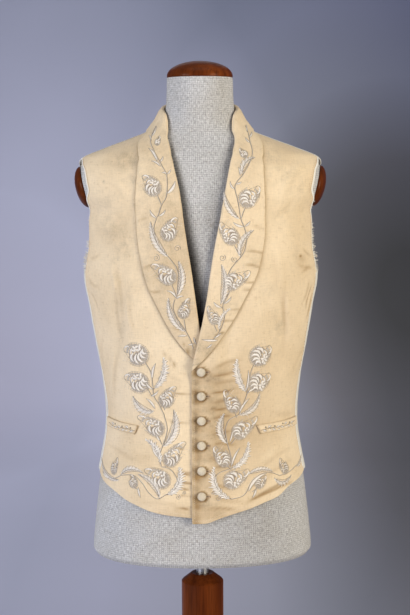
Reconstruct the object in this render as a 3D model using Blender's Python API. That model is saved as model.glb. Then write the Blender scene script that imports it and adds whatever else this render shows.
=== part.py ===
"""Embroidered waistcoat, buttoned, on a limbless linen dress form with a turned stand.

Metres, +Z up. The origin is the centre of the round base, on the floor. The front faces -Y, and the
wearer's left side is +X. Every cloth piece is a wall of its own, cut from one smooth body-shaped skin.
"""
import math

import bmesh
import bpy
from mathutils import Matrix, Vector

# ---------------------------------------------------------------- driving dimensions
# Dress form: level sections of the linen torso and neck, from its bottom edge to the neck top.
FORM_SECTIONS = (
    # height, half_width, front_depth, back_depth, squareness
    (0.740, 0.1790, 0.1200, 0.1220, 2.20),
    (0.748, 0.1840, 0.1250, 0.1270, 2.20),
    (0.790, 0.1805, 0.1255, 0.1275, 2.20),
    (0.830, 0.1760, 0.1245, 0.1240, 2.20),
    (0.870, 0.1710, 0.1215, 0.1170, 2.20),
    (0.910, 0.1640, 0.1165, 0.1070, 2.20),
    (0.950, 0.1575, 0.1115, 0.0965, 2.20),
    (0.990, 0.1545, 0.1090, 0.0900, 2.25),
    (1.040, 0.1590, 0.1095, 0.0895, 2.30),
    (1.100, 0.1690, 0.1130, 0.0960, 2.35),
    (1.160, 0.1780, 0.1170, 0.1045, 2.40),
    (1.220, 0.1815, 0.1195, 0.1115, 2.40),
    (1.270, 0.1785, 0.1180, 0.1145, 2.40),
    (1.310, 0.1775, 0.1140, 0.1145, 2.35),
    (1.340, 0.1950, 0.1080, 0.1120, 2.30),
    (1.365, 0.2035, 0.1000, 0.1065, 2.20),
    (1.385, 0.1970, 0.0905, 0.0970, 2.10),
    (1.400, 0.1875, 0.0835, 0.0920, 2.00),
    (1.415, 0.1525, 0.0745, 0.0840, 2.00),
    (1.430, 0.1120, 0.0660, 0.0760, 2.00),
    (1.445, 0.0770, 0.0595, 0.0690, 2.00),
    (1.460, 0.0628, 0.0565, 0.0635, 2.05),
    (1.480, 0.0562, 0.0550, 0.0590, 2.10),
    (1.505, 0.0545, 0.0537, 0.0562, 2.10),
    (1.529, 0.0540, 0.0530, 0.0550, 2.10),
)
# How far the cloth's outer face stands out from the form.
EASE_SECTIONS = (
    # height, side, front, back
    (0.740, 0.0080, 0.0090, 0.0060),
    (0.800, 0.0075, 0.0090, 0.0060),
    (0.880, 0.0050, 0.0080, 0.0050),
    (0.950, 0.0045, 0.0075, 0.0090),
    (1.000, 0.0065, 0.0075, 0.0120),
    (1.060, 0.0070, 0.0075, 0.0110),
    (1.150, 0.0075, 0.0070, 0.0070),
    (1.205, 0.0125, 0.0065, 0.0055),
    (1.225, 0.0110, 0.0060, 0.0050),
    (1.260, 0.0075, 0.0055, 0.0045),
    (1.320, 0.0085, 0.0045, 0.0040),
    (1.365, 0.0058, 0.0050, 0.0048),
    (1.385, 0.0095, 0.0070, 0.0078),
    (1.400, 0.0070, 0.0042, 0.0046),
    (1.430, 0.0066, 0.0044, 0.0042),
    (1.460, 0.0052, 0.0048, 0.0046),
    (1.480, 0.0040, 0.0040, 0.0040),
    (1.529, 0.0040, 0.0040, 0.0040),
)
ARM_PLATE_CENTRE = (0.1890, 0.0, 1.3525)  # the form's shoulders are cut flat here for the wooden arm caps
ARM_PLATE_TILT = math.radians(13.0)  # the top of the cut stands further out than its foot
ARM_CAP_HALF_HEIGHT = 0.0345
ARM_CAP_HALF_DEPTH = 0.0420
ARM_CAP_RISE = 0.0165
ARM_CAP_SKIRT = 0.0010  # upright edge under a cap's dome
NECK_CAP_RISE = 0.0272
NECK_CAP_SKIRT = 0.0020
CUTTER_REACH = 0.150

COLUMN_RADIUS = 0.0355
COLUMN_TOP = 0.697
COLUMN_TOP_RADIUS = 0.019
COLUMN_CHAMFER = (
    # in_from_radius, down_from_top
    (0.0020, 0.0115),
    (0.0000, 0.0140),
)
COLUMN_FOOT = (
    # out_from_radius, up_from_base
    (0.000, 0.040),
    (0.006, 0.034),
    (0.009, 0.026),
    (0.006, 0.018),
    (0.004, 0.016),
    (0.014, 0.008),
    (0.016, 0.000),
)
BASE_HEIGHT = 0.046
BASE_PROFILE = (
    # radius, height
    (0.060, 0.046),
    (0.072, 0.042),
    (0.120, 0.034),
    (0.180, 0.028),
    (0.200, 0.025),
    (0.202, 0.020),
    (0.212, 0.018),
    (0.218, 0.014),
    (0.220, 0.010),
    (0.220, 0.003),
    (0.217, 0.000),
)
TENON_RADIUS = 0.022  # the column's foot, let into the base
TENON_DEPTH = 0.030
SPINDLE_RADIUS = 0.0110
SPINDLE_COLLAR_RADIUS = 0.0150
SPINDLE_COLLAR_HEIGHT = 0.012
SPINDLE_IN_COLUMN = 0.300  # how much of the steel spindle is inside the column when it is down
SPINDLE_IN_FORM = 0.100
SPINDLE_TIP = 0.001  # edge taken off its two ends
COLUMN_BORE_SPARE = 0.010  # the bore runs on below the spindle
RUNNING_GAP = 0.0004  # round the spindle
SEAM_GAP = 0.0003  # between pieces that are sewn or glued together
COLLAR_SEAM_GAP = 0.0025  # between a panel's neck edge and the cloth that goes back under the collar

CLOTH_WALL = 0.0016  # silk, interlining and lining of a front or back
COLLAR_WALL = 0.0018
WELT_WALL = 0.0014
LAYER_GAP = 0.0014  # between a panel and what lies on it, so that their facets stay clear
LAP_EDGE = 0.0150  # each front runs this far past the centre
SIDE_SEAM_ANGLE = 77.0  # degrees round from centre front
SHOULDER_SEAM_ANGLE = 82.0
FOLD_RETURN = 0.0050  # how far the cloth goes back under a lapel from its folded edge
FOLD_NOSE = 0.0012
FOLD_SLOT = 0.0030  # from the folded edge to where the two layers meet
NARROW_LAPEL = 0.0120  # a lapel narrower than this has a smaller fold
STAND_SHARE = 0.6  # the cloth under a collar is never more than this much of its width
# Collar stations worked out between two rows of LAPELS, and how far the collar spans over a hollow.
LAPEL_STEPS = 3
COLLAR_SPAN = 0.0030
LAP_FADE = (0.018, 0.046)  # from the centre line, where the lap's lift ends
LAP_OVER_LAPEL = (1.040, 1.058, 1.130, 1.160)  # heights where the lap rises over the lapel's foot
LAP_TOP = (1.150, 1.200)

# Front hem: how far from the centre line, and the height of each front's lower edge there.
FRONT_HEM = (
    # from_centre, wearer's_left, wearer's_right
    (-0.0160, 0.8180, 0.8250),
    (0.0030, 0.8185, 0.8260),
    (0.0260, 0.8260, 0.8280),
    (0.0520, 0.8335, 0.8305),
    (0.0760, 0.8400, 0.8345),
    (0.1000, 0.8480, 0.8425),
    (0.1200, 0.8540, 0.8500),
    (0.1400, 0.8670, 0.8610),
    (0.1600, 0.8755, 0.8710),
    (0.1720, 0.8830, 0.8830),
)
SIDE_HEM_HEIGHT = 0.8830
BACK_HEM_HEIGHT = 0.8700
BACK_HEM_FADE = 0.2000  # the back's rows are level from this far above the hem
FRONT_TUCK = 0.0012  # the front's top corner stays this far below the neck line
ARMHOLE_FOOT = 1.2130
SHOULDER_TIP = 1.4000
ARMHOLE = (
    # height, front_angle, back_angle
    (1.2130, 77.0, 77.0),
    (1.2180, 76.6, 88.0),
    (1.2300, 76.3, 101.0),
    (1.2600, 76.6, 113.0),
    (1.2950, 77.0, 118.0),
    (1.3260, 69.0, 119.0),
    (1.3520, 60.0, 117.0),
    (1.3780, 63.0, 109.0),
    (1.3930, 73.0, 95.0),
    (1.4000, 82.0, 82.0),
)
# Lapels, from the break above the top button to the neck: the folded edge and the outer edge.
LAPELS = {
    "left": (
        # fold_from_centre, fold_height, edge_from_centre, edge_height
        (-0.0148, 1.0690, -0.0130, 1.0655),
        (-0.0085, 1.0960, 0.0160, 1.0960),
        (0.0005, 1.1335, 0.0438, 1.1333),
        (0.0095, 1.1800, 0.0710, 1.1820),
        (0.0160, 1.2240, 0.0900, 1.2220),
        (0.0225, 1.2620, 0.0970, 1.2530),
        (0.0295, 1.2960, 0.1008, 1.2860),
        (0.0385, 1.3440, 0.1010, 1.3282),
        (0.0465, 1.3850, 0.1000, 1.3642),
        (0.0545, 1.4200, 0.0989, 1.4000),
    ),
    "right": (
        (-0.0148, 1.0690, -0.0130, 1.0620),
        (-0.0075, 1.0960, 0.0163, 1.0868),
        (0.0020, 1.1335, 0.0420, 1.1180),
        (0.0085, 1.1800, 0.0668, 1.1634),
        (0.0145, 1.2240, 0.0845, 1.2029),
        (0.0205, 1.2620, 0.0945, 1.2440),
        (0.0255, 1.2960, 0.0990, 1.2830),
        (0.0318, 1.3440, 0.1014, 1.3314),
        (0.0412, 1.3850, 0.0993, 1.3680),
        (0.0487, 1.4200, 0.0965, 1.4000),
    ),
}
# The shawl collar round the neck, up from the lapels to the centre back.
NECK_COLLAR = (
    # fold_angle, fold_height, edge_angle, edge_height, stand
    (42.5, 1.4500, 47.5, 1.4250, 0.009),
    (61.0, 1.4700, 68.0, 1.4400, 0.018),
    (88.0, 1.4805, 93.0, 1.4440, 0.025),
    (115.0, 1.4870, 118.0, 1.4455, 0.028),
    (145.0, 1.4910, 147.0, 1.4470, 0.028),
    (180.0, 1.4930, 180.0, 1.4480, 0.028),
)
# The largest folds of the fronts, as soft ridges (+) and troughs (-) along straight lines.
FOLDS = (
    # side, from_x, from_height, to_x, to_height, half_width, rise
    ("right", 0.128, 1.210, 0.133, 1.090, 0.016, -0.0022),
    ("right", 0.133, 1.090, 0.150, 0.985, 0.015, -0.0018),
    ("right", 0.112, 1.190, 0.112, 1.020, 0.018, 0.0016),
    ("right", 0.060, 0.930, 0.130, 0.900, 0.014, 0.0012),
    ("left", 0.118, 1.150, 0.126, 1.070, 0.020, -0.0022),
    ("left", 0.150, 1.180, 0.158, 1.060, 0.014, 0.0015),
    ("left", 0.070, 0.900, 0.140, 0.925, 0.014, 0.0012),
    ("left", 0.030, 1.050, 0.080, 1.085, 0.014, -0.0012),
)
# Pocket welts, by their top edges. The inner end slants outward going down.
WELTS = {
    # side: inner_from_centre, inner_top, outer_from_centre, outer_top
    "left": (0.0885, 0.9712, 0.1545, 0.9742),
    "right": (0.1015, 0.9700, 0.1545, 0.9745),
}
WELT_HEIGHT = 0.0140
WELT_SLANT = 0.0060

BUTTON_RADIUS = 0.0075
BUTTON_RISE = 0.0060
BUTTON_SKIRT = 0.0012
BUTTONS = (
    # height, seat: how far the button's flat foot stands above the lap's smooth face
    (1.0620, -0.0002),
    (1.0220, 0.0006),
    (0.9820, 0.0005),
    (0.9420, 0.0006),
    (0.9020, 0.0003),
    (0.8620, 0.0001),
)

PANEL_COLUMNS = 14
BACK_COLUMNS = 9
PANEL_ROWS = (13, 9, 6)  # below the armhole, beside it, and above the shoulder tip
WELT_COLUMNS = 8
WELT_ROWS = 2
FORM_COLUMNS = 40
COLLAR_STATIONS = 32
COLLAR_ACROSS = (0.0, 0.12, 0.28, 0.44, 0.60, 0.80, 1.0)
STAND_ACROSS = (0.0, 0.33, 0.67, 1.0)
TURNED_STEPS = 40
CAP_STEPS = 24
CAP_RINGS = 5
BORE_STEPS = 24
BUTTON_STEPS = 12
BUTTON_RINGS = 3

SIDES = {"left": 1.0, "right": -1.0}
SLOPE_STEP = 0.0005  # how far apart the skin is read to find its slope, up it
SLOPE_TURN = 0.3  # and round it, in degrees
SHARP_TURN = math.radians(40)


# ---------------------------------------------------------------- smooth tables
def smooth_curve(places, values, place):
    """A smooth curve through the table that never swings past its values."""
    place = min(max(place, places[0]), places[-1])
    spans = [b - a for a, b in zip(places, places[1:])]
    slopes = [(b - a) / s for a, b, s in zip(values, values[1:], spans)]
    i = max(k for k in range(len(spans)) if k == 0 or places[k] <= place)

    def tangent(k):
        if k in (0, len(spans)):
            return slopes[0 if k == 0 else -1]
        before, after = slopes[k - 1], slopes[k]
        if before * after <= 0:
            return 0.0
        weight_b = 2 * spans[k] + spans[k - 1]
        weight_a = spans[k] + 2 * spans[k - 1]
        return (weight_b + weight_a) / (weight_b / before + weight_a / after)

    t = (place - places[i]) / spans[i]
    start = (1 + 2 * t) * (1 - t) ** 2 * values[i] + t * (1 - t) ** 2 * spans[i] * tangent(i)
    return start + t * t * (3 - 2 * t) * values[i + 1] + t * t * (t - 1) * spans[i] * tangent(i + 1)


def table_at(table, place):
    """Every column of a table after its first, read at one place of the first."""
    columns = list(zip(*table))
    return [smooth_curve(columns[0], column, place) for column in columns[1:]]


def ramp(value, low, high):
    """0 below low, 1 above high, and soft between."""
    t = min(max((value - low) / (high - low), 0.0), 1.0)
    return t * t * (3 - 2 * t)


def mix(a, b, t):
    return a + (b - a) * t


# ---------------------------------------------------------------- the form's and the cloth's skin
def section_at(height, dressed=True):
    half_width, front, back, squareness = table_at(FORM_SECTIONS, height)
    if dressed:
        ease_side, ease_front, ease_back = table_at(EASE_SECTIONS, height)
        return half_width + ease_side, front + ease_front, back + ease_back, squareness
    return half_width, front, back, squareness


def skin(angle, height, dressed=True):
    """Point of the skin. The angle in degrees runs from centre front, 0, past +X at 90."""
    half_width, front, back, squareness = section_at(height, dressed)
    s = math.sin(math.radians(angle))
    c = math.cos(math.radians(angle))
    power = 2.0 / squareness
    depth = front if c >= 0 else back
    x = half_width * math.copysign(abs(s) ** power, s)
    y = -depth * math.copysign(abs(c) ** power, c)
    return Vector((x, y, height))


def skin_normal(angle, height):
    """Outward direction of the dressed skin."""
    across = skin(angle + SLOPE_TURN, height) - skin(angle - SLOPE_TURN, height)
    up = skin(angle, height + SLOPE_STEP) - skin(angle, height - SLOPE_STEP)
    return across.cross(up).normalized()


def angle_at(x, height):
    """Angle of the dressed skin's front point at a distance x from the centre line."""
    half_width, _, _, squareness = section_at(height)
    share = min(abs(x) / half_width, 1.0) ** (squareness / 2.0)
    return math.copysign(math.degrees(math.asin(share)), x)


def along(angle, height, distance):
    """The angle that lies a distance further round the skin, level."""
    chord = (skin(angle + SLOPE_TURN, height) - skin(angle - SLOPE_TURN, height)).length
    return angle + distance * 2 * SLOPE_TURN / chord


def fold_rise(side, x, height):
    """How far the largest folds lift a front's cloth at x from the centre."""
    total = 0.0
    for fold_side, x0, z0, x1, z1, half_width, rise in FOLDS:
        if fold_side != side:
            continue
        run = Vector((x1 - x0, z1 - z0))
        offset = Vector((x - x0, height - z0))
        t = offset.dot(run) / run.length_squared
        near = min(max(t, 0.0), 1.0)
        away = (offset - run * near).length / half_width
        total += rise * math.exp(-away * away)
    return total


def lap_lift(side, x, height):
    """The wearer's left front laps over the right one, and over the foot of its lapel."""
    if side == "right":
        return 0.0
    over_front = CLOTH_WALL + LAYER_GAP
    over_lapel = COLLAR_WALL + LAYER_GAP
    near_centre = 1.0 - ramp(x, *LAP_FADE)
    at_break = ramp(height, *LAP_OVER_LAPEL[:2]) * (1.0 - ramp(height, *LAP_OVER_LAPEL[2:]))
    return near_centre * (over_front * (1.0 - ramp(height, *LAP_TOP)) + over_lapel * at_break)


def front_point(side, angle, height, lift=0.0):
    """Point of one front's outer face, or lift above it. The angle is measured on that side."""
    sign = SIDES[side]
    base = skin(angle, height)
    rise = fold_rise(side, base.x, height) + lap_lift(side, base.x, height)
    point = base + skin_normal(angle, height) * (rise + lift)
    return Vector((point.x * sign, point.y, point.z))


def back_point(side, angle, height, lift=0.0):
    base = skin(angle, height) + skin_normal(angle, height) * lift
    return Vector((base.x * SIDES[side], base.y, base.z))


# ---------------------------------------------------------------- scene and mesh helpers
def clear_scene():
    for thing in list(bpy.data.objects):
        bpy.data.objects.remove(thing, do_unlink=True)


def make_material(name, colour, roughness, metallic=0.0):
    material = bpy.data.materials.new(name)
    material.use_nodes = True
    shader = material.node_tree.nodes["Principled BSDF"]
    shader.inputs["Base Color"].default_value = (*colour, 1.0)
    shader.inputs["Roughness"].default_value = roughness
    shader.inputs["Metallic"].default_value = metallic
    material.diffuse_color = (*colour, 1.0)
    return material


def add_object(name, points, faces, material):
    mesh = bpy.data.meshes.new(name)
    mesh.from_pydata([tuple(p) for p in points], [], faces)
    obj = bpy.data.objects.new(name, mesh)
    bpy.context.scene.collection.objects.link(obj)
    obj.data.materials.append(material)
    face_outward(mesh)
    return obj


def face_outward(mesh):
    """Point every face of a closed mesh outward and shade its round parts smooth."""
    work = bmesh.new()
    work.from_mesh(mesh)
    bmesh.ops.recalc_face_normals(work, faces=work.faces)
    if work.calc_volume(signed=True) < 0:
        bmesh.ops.reverse_faces(work, faces=work.faces)
    work.to_mesh(mesh)
    work.free()
    mesh.shade_smooth()
    mesh.set_sharp_from_angle(angle=SHARP_TURN)


def loft(name, rings, material):
    """Closed solid through rings of equal length, with both ends capped."""
    count = len(rings[0])
    points = [p for ring in rings for p in ring]
    faces = []
    for r in range(len(rings) - 1):
        for k in range(count):
            n = (k + 1) % count
            a, b = r * count, (r + 1) * count
            faces.append((a + k, a + n, b + n, b + k))
    faces.append(tuple(reversed(range(count))))
    faces.append(tuple(range((len(rings) - 1) * count, len(rings) * count)))
    return add_object(name, points, faces, material)


def wall(name, outer, inner, material):
    """Closed wall between two grids of points, given as rows of equal length."""
    rows, columns = len(outer), len(outer[0])
    points = [p for row in outer for p in row] + [p for row in inner for p in row]
    under = rows * columns

    def at(r, c, side=0):
        return side * under + r * columns + c

    faces = []
    for r in range(rows - 1):
        for c in range(columns - 1):
            faces.append((at(r, c), at(r, c + 1), at(r + 1, c + 1), at(r + 1, c)))
            faces.append((at(r, c, 1), at(r + 1, c, 1), at(r + 1, c + 1, 1), at(r, c + 1, 1)))
    for r in range(rows - 1):
        for c in (0, columns - 1):
            faces.append((at(r, c), at(r + 1, c), at(r + 1, c, 1), at(r, c, 1)))
    for c in range(columns - 1):
        for r in (0, rows - 1):
            faces.append((at(r, c), at(r, c + 1), at(r, c + 1, 1), at(r, c, 1)))
    return add_object(name, points, faces, material)


def turned(name, profile, material, steps=TURNED_STEPS):
    """Turned solid: the profile of (radius, height) runs down its outer side."""
    mesh = bpy.data.meshes.new(name)
    closed = profile[0][0] > 0 and profile[-1][0] > 0
    count = len(profile)
    edges = [(k, k + 1) for k in range(count - 1)]
    if closed:
        edges.append((count - 1, 0))
    mesh.from_pydata([(r, 0.0, z) for r, z in profile], edges, [])
    obj = bpy.data.objects.new(name, mesh)
    bpy.context.scene.collection.objects.link(obj)
    screw = obj.modifiers.new("turn", "SCREW")
    screw.steps = steps
    screw.render_steps = steps
    screw.use_merge_vertices = True
    screw.merge_threshold = 1e-5
    screw.use_smooth_shade = True
    obj.data.materials.append(material)
    return obj


def cut(obj, cutter_name, points, faces):
    """Cut a closed shape, kept out of the model as a wire cutter, from an object."""
    cutter = add_object(cutter_name, points, faces, obj.data.materials[0])
    cutter.hide_render = True
    cutter.display_type = "WIRE"
    modifier = obj.modifiers.new(cutter_name, "BOOLEAN")
    modifier.operation = "DIFFERENCE"
    modifier.object = cutter
    return cutter


# ---------------------------------------------------------------- the dress form
def level_ring(height):
    turn = 360.0 / FORM_COLUMNS
    return [skin(k * turn, height, dressed=False) for k in range(FORM_COLUMNS)]


def form_heights():
    """The table's heights, with one more between each pair that is far apart or differs much."""
    pairs = list(zip(FORM_SECTIONS, FORM_SECTIONS[1:]))
    added = [(a[0] + b[0]) / 2 for a, b in pairs if abs(b[1] - a[1]) > 0.014 or b[0] - a[0] > 0.045]
    return sorted([row[0] for row in FORM_SECTIONS] + added)


def arm_plane_point(sign, up, forward, out):
    """A point given along the tilted arm plate: up it, along Y, and out from it."""
    centre = Vector(ARM_PLATE_CENTRE)
    rise = Vector((math.sin(ARM_PLATE_TILT), 0.0, math.cos(ARM_PLATE_TILT)))
    normal = Vector((math.cos(ARM_PLATE_TILT), 0.0, -math.sin(ARM_PLATE_TILT)))
    point = centre + rise * up + Vector((0.0, forward, 0.0)) + normal * out
    return Vector((point.x * sign, point.y, point.z))


def block_faces():
    return [(0, 1, 3, 2), (4, 6, 7, 5), (0, 4, 5, 1), (2, 3, 7, 6), (0, 2, 6, 4), (1, 5, 7, 3)]


def make_torso(linen):
    torso = loft("torso", [level_ring(z) for z in form_heights()], linen)
    for side, sign in SIDES.items():
        corners = [
            arm_plane_point(sign, up, forward, out)
            for up in (-CUTTER_REACH, CUTTER_REACH)
            for forward in (-CUTTER_REACH, CUTTER_REACH)
            for out in (0.0, CUTTER_REACH)
        ]
        cut(torso, f"cut_arm_plate_{side}", corners, block_faces())
    socket_radius = SPINDLE_RADIUS + RUNNING_GAP
    bottom = FORM_SECTIONS[0][0]
    turns = [math.tau * k / BORE_STEPS for k in range(BORE_STEPS)]
    ring = [(socket_radius * math.cos(turn), socket_radius * math.sin(turn)) for turn in turns]
    low = [(x, y, bottom - CUTTER_REACH) for x, y in ring]
    high = [(x, y, bottom + SPINDLE_IN_FORM + RUNNING_GAP) for x, y in ring]
    pairs = [(k, (k + 1) % BORE_STEPS) for k in range(BORE_STEPS)]
    faces = [(a, b, BORE_STEPS + b, BORE_STEPS + a) for a, b in pairs]
    faces += [tuple(reversed(range(BORE_STEPS))), tuple(range(BORE_STEPS, 2 * BORE_STEPS))]
    cut(torso, "cut_socket", low + high, faces)
    return torso


def dome_profile(radius, rise, skirt, rings=CAP_RINGS):
    """Half-ellipse dome over a short upright skirt, from its crown down to its flat foot."""
    profile = []
    for k in range(rings + 1):
        turn = math.radians(90) * k / rings
        profile.append((radius * math.sin(turn), skirt + rise * math.cos(turn)))
    return profile + [(radius, 0.0), (0.0, 0.0)]


def make_caps(mahogany):
    neck_top = FORM_SECTIONS[-1][0]
    neck_half_width, neck_front, neck_back = FORM_SECTIONS[-1][1:4]
    profile = dome_profile(neck_half_width, NECK_CAP_RISE - NECK_CAP_SKIRT, NECK_CAP_SKIRT)
    neck_cap = turned("neck_cap", profile, mahogany, CAP_STEPS)
    neck_cap.location = (0.0, (neck_back - neck_front) / 2, neck_top + SEAM_GAP)
    neck_cap.scale = (1.0, (neck_front + neck_back) / 2 / neck_half_width, 1.0)
    for side, sign in SIDES.items():
        profile = dome_profile(ARM_CAP_HALF_HEIGHT, ARM_CAP_RISE - ARM_CAP_SKIRT, ARM_CAP_SKIRT)
        cap = turned(f"arm_cap_{side}", profile, mahogany, CAP_STEPS)
        outward = Vector((sign * math.cos(ARM_PLATE_TILT), 0.0, -math.sin(ARM_PLATE_TILT)))
        deep = Vector((0.0, 1.0, 0.0))
        axes = Matrix((deep, outward.cross(deep), outward)).transposed()
        stretch = Matrix.Diagonal((ARM_CAP_HALF_DEPTH / ARM_CAP_HALF_HEIGHT, 1.0, 1.0))
        place = Matrix.Translation(arm_plane_point(sign, 0, 0, SEAM_GAP))
        cap.matrix_world = place @ (axes @ stretch).to_4x4()


# ---------------------------------------------------------------- the stand
def make_base(mahogany):
    """Wide turned foot with a stepped edge and a socket for the column."""
    socket_floor = BASE_HEIGHT - TENON_DEPTH - SEAM_GAP
    socket_radius = TENON_RADIUS + SEAM_GAP
    socket = [(0.0, socket_floor), (socket_radius, socket_floor), (socket_radius, BASE_HEIGHT)]
    return turned("base", [*socket, *BASE_PROFILE, (0.0, 0.0)], mahogany)


def make_column(mahogany):
    """Plain round column, bored for the spindle, with a tenon at its foot."""
    bore = SPINDLE_RADIUS + RUNNING_GAP
    bore_floor = COLUMN_TOP - SPINDLE_IN_COLUMN - COLUMN_BORE_SPARE
    shoulder = BASE_HEIGHT + SEAM_GAP
    profile = [(0.0, bore_floor), (bore, bore_floor), (bore, COLUMN_TOP), (COLUMN_TOP_RADIUS, COLUMN_TOP)]
    profile += [(COLUMN_RADIUS - inward, COLUMN_TOP - down) for inward, down in COLUMN_CHAMFER]
    profile += [(COLUMN_RADIUS + out, shoulder + up) for out, up in COLUMN_FOOT]
    profile += [(TENON_RADIUS, z) for z in (shoulder, shoulder - TENON_DEPTH)]
    profile.append((0.0, shoulder - TENON_DEPTH))
    return turned("column", profile, mahogany)


def make_spindle(steel):
    """Steel rod that slides in the column, with a collar that the form turns on."""
    collar_top = FORM_SECTIONS[0][0] - SEAM_GAP
    top = FORM_SECTIONS[0][0] + SPINDLE_IN_FORM - RUNNING_GAP
    foot = COLUMN_TOP - SPINDLE_IN_COLUMN
    profile = [
        (0.0, top),
        (SPINDLE_RADIUS - SPINDLE_TIP, top),
        (SPINDLE_RADIUS, top - SPINDLE_TIP),
        (SPINDLE_RADIUS, collar_top),
        (SPINDLE_COLLAR_RADIUS, collar_top),
        (SPINDLE_COLLAR_RADIUS, collar_top - SPINDLE_COLLAR_HEIGHT),
        (SPINDLE_RADIUS, collar_top - SPINDLE_COLLAR_HEIGHT),
        (SPINDLE_RADIUS, foot + SPINDLE_TIP),
        (SPINDLE_RADIUS - SPINDLE_TIP, foot),
        (0.0, foot),
    ]
    return turned("spindle", profile, steel, BORE_STEPS)


# ---------------------------------------------------------------- collar and lapels
def collar_rows(side):
    """All stations of one collar half as (place, fold_angle, fold_height, edge_angle, edge_height, stand)."""
    given = [(float(k), *row) for k, row in enumerate(LAPELS[side])]
    rows = []
    for step in range((len(given) - 1) * LAPEL_STEPS + 1):
        place = step / LAPEL_STEPS
        fold_x, fold_z, edge_x, edge_z = table_at(given, place)
        rows.append((place, angle_at(fold_x, fold_z), fold_z, angle_at(edge_x, edge_z), edge_z, FOLD_RETURN))
    return rows + [(float(len(given) + k), *row) for k, row in enumerate(NECK_COLLAR)]


def skin_at(side, angle, height, lift):
    """Outer face of the front or the back at an angle, whichever is there."""
    if abs(angle) <= SHOULDER_SEAM_ANGLE:
        return front_point(side, angle, height, lift)
    return back_point(side, angle, height, lift)


def collar_point(side, station, distance_share, lift):
    """Point above the panels, part of the way from a station's fold to its edge.

    Where the skin is hollow the collar spans it, standing off by COLLAR_SPAN at the most.
    """
    fold_angle, fold_z, edge_angle, edge_z, _ = station
    angle = mix(fold_angle, edge_angle, distance_share)
    height = mix(fold_z, edge_z, distance_share)
    point = skin_at(side, angle, height, lift)
    fold = skin_at(side, fold_angle, fold_z, lift)
    edge = skin_at(side, edge_angle, edge_z, lift)
    normal = skin_normal(angle, height)
    normal.x *= SIDES[side]
    span = (fold.lerp(edge, distance_share) - point).dot(normal)
    return point + normal * min(max(span, 0.0), COLLAR_SPAN)


def neckline(side):
    """Where the panels' cloth ends under the collar, as (angle, height) from the break to the back."""
    rows = collar_rows(side)
    line = []
    count = 4 * COLLAR_STATIONS
    for k in range(count + 1):
        station = table_at(rows, rows[-1][0] * k / count)
        line.append(return_end(side, station, COLLAR_SEAM_GAP))
    return line


def station_width(side, station):
    fold_angle, fold_z, edge_angle, edge_z, _ = station
    return (skin_at(side, fold_angle, fold_z, 0) - skin_at(side, edge_angle, edge_z, 0)).length


def return_end(side, station, beyond=0.0):
    """End of the cloth that goes back under the fold, as (angle, height)."""
    fold_angle, fold_z, edge_angle, edge_z, stand = station
    width = station_width(side, station)
    share = (min(stand, STAND_SHARE * width) + beyond) / width
    return mix(fold_angle, edge_angle, share), mix(fold_z, edge_z, share)


def collar_ring(side, station):
    """Closed section of the folded collar: up over the fold, out to the edge, and back inside."""
    width = station_width(side, station)
    shrink = min(1.0, width / NARROW_LAPEL)
    stand_share = min(station[4], STAND_SHARE * width) / width
    nose_share = FOLD_NOSE * shrink / width
    slot_share = min(FOLD_SLOT * shrink / width, stand_share * STAND_SHARE)
    top, under = LAYER_GAP + COLLAR_WALL, LAYER_GAP
    out_shares = [mix(nose_share, 1.0, t) for t in COLLAR_ACROSS]
    back_shares = [mix(slot_share, 1.0, t) for t in reversed(COLLAR_ACROSS)]
    stand_shares = [mix(slot_share, stand_share, t) for t in STAND_ACROSS]
    inner_shares = [mix(nose_share, stand_share, t) for t in reversed(STAND_ACROSS)]
    ring = [collar_point(side, station, share, top) for share in out_shares]
    ring += [collar_point(side, station, share, under) for share in back_shares]
    ring += [stand_point(side, station, share, 0.0) for share in stand_shares]
    ring += [stand_point(side, station, share, -COLLAR_WALL) for share in inner_shares]
    ring.append(stand_point(side, station, 0.0, LAYER_GAP / 2))
    return ring


def stand_point(side, station, share, lift):
    fold_angle, fold_z, edge_angle, edge_z, _ = station
    return skin_at(side, mix(fold_angle, edge_angle, share), mix(fold_z, edge_z, share), lift)


def make_collar(side, cloth):
    rows = collar_rows(side)
    last = rows[-1][0]
    rings = []
    for k in range(COLLAR_STATIONS + 1):
        station = table_at(rows, last * k / COLLAR_STATIONS)
        if k == COLLAR_STATIONS:
            station[0] = along(station[0], station[1], -SEAM_GAP / 2)
            station[2] = along(station[2], station[3], -SEAM_GAP / 2)
        rings.append(collar_ring(side, station))
    return loft(f"collar_{side}", rings, cloth)


# ---------------------------------------------------------------- fronts and backs
def spread(low, high, steps):
    return [mix(low, high, k / steps) for k in range(steps + 1)]


def front_hem(side, x):
    left, right = table_at(FRONT_HEM, x)
    return left if side == "left" else right


def front_edge_angle(side, line, height):
    """The front's inner edge: the button edge, and above the break the line under the lapel."""
    line = [(z, angle) for angle, z in line if angle <= SHOULDER_SEAM_ANGLE]
    if height <= line[0][0]:
        return angle_at(-LAP_EDGE, height)
    for (z0, a0), (z1, a1) in zip(line, line[1:]):
        if z0 <= height <= z1:
            return mix(a0, a1, (height - z0) / (z1 - z0))
    return line[-1][1]


def neck_height(line, angle):
    """Height of the neckline at an angle behind the shoulder seam."""
    for (a0, z0), (a1, z1) in zip(line, line[1:]):
        if a0 <= angle <= a1:
            return mix(z0, z1, (angle - a0) / (a1 - a0))
    return line[-1][1]


def armhole_angles(height):
    """The front's and the back's outer edges at a height, before the seam gap."""
    if height <= ARMHOLE_FOOT:
        return SIDE_SEAM_ANGLE, SIDE_SEAM_ANGLE
    if height >= SHOULDER_TIP:
        return SHOULDER_SEAM_ANGLE, SHOULDER_SEAM_ANGLE
    return tuple(table_at(ARMHOLE, height))


def panel_levels(low, top):
    below, beside, above = PANEL_ROWS
    levels = spread(low, ARMHOLE_FOOT, below)[:-1]
    levels += spread(ARMHOLE_FOOT, SHOULDER_TIP, beside)[:-1]
    return levels + spread(SHOULDER_TIP, top, above)


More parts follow.
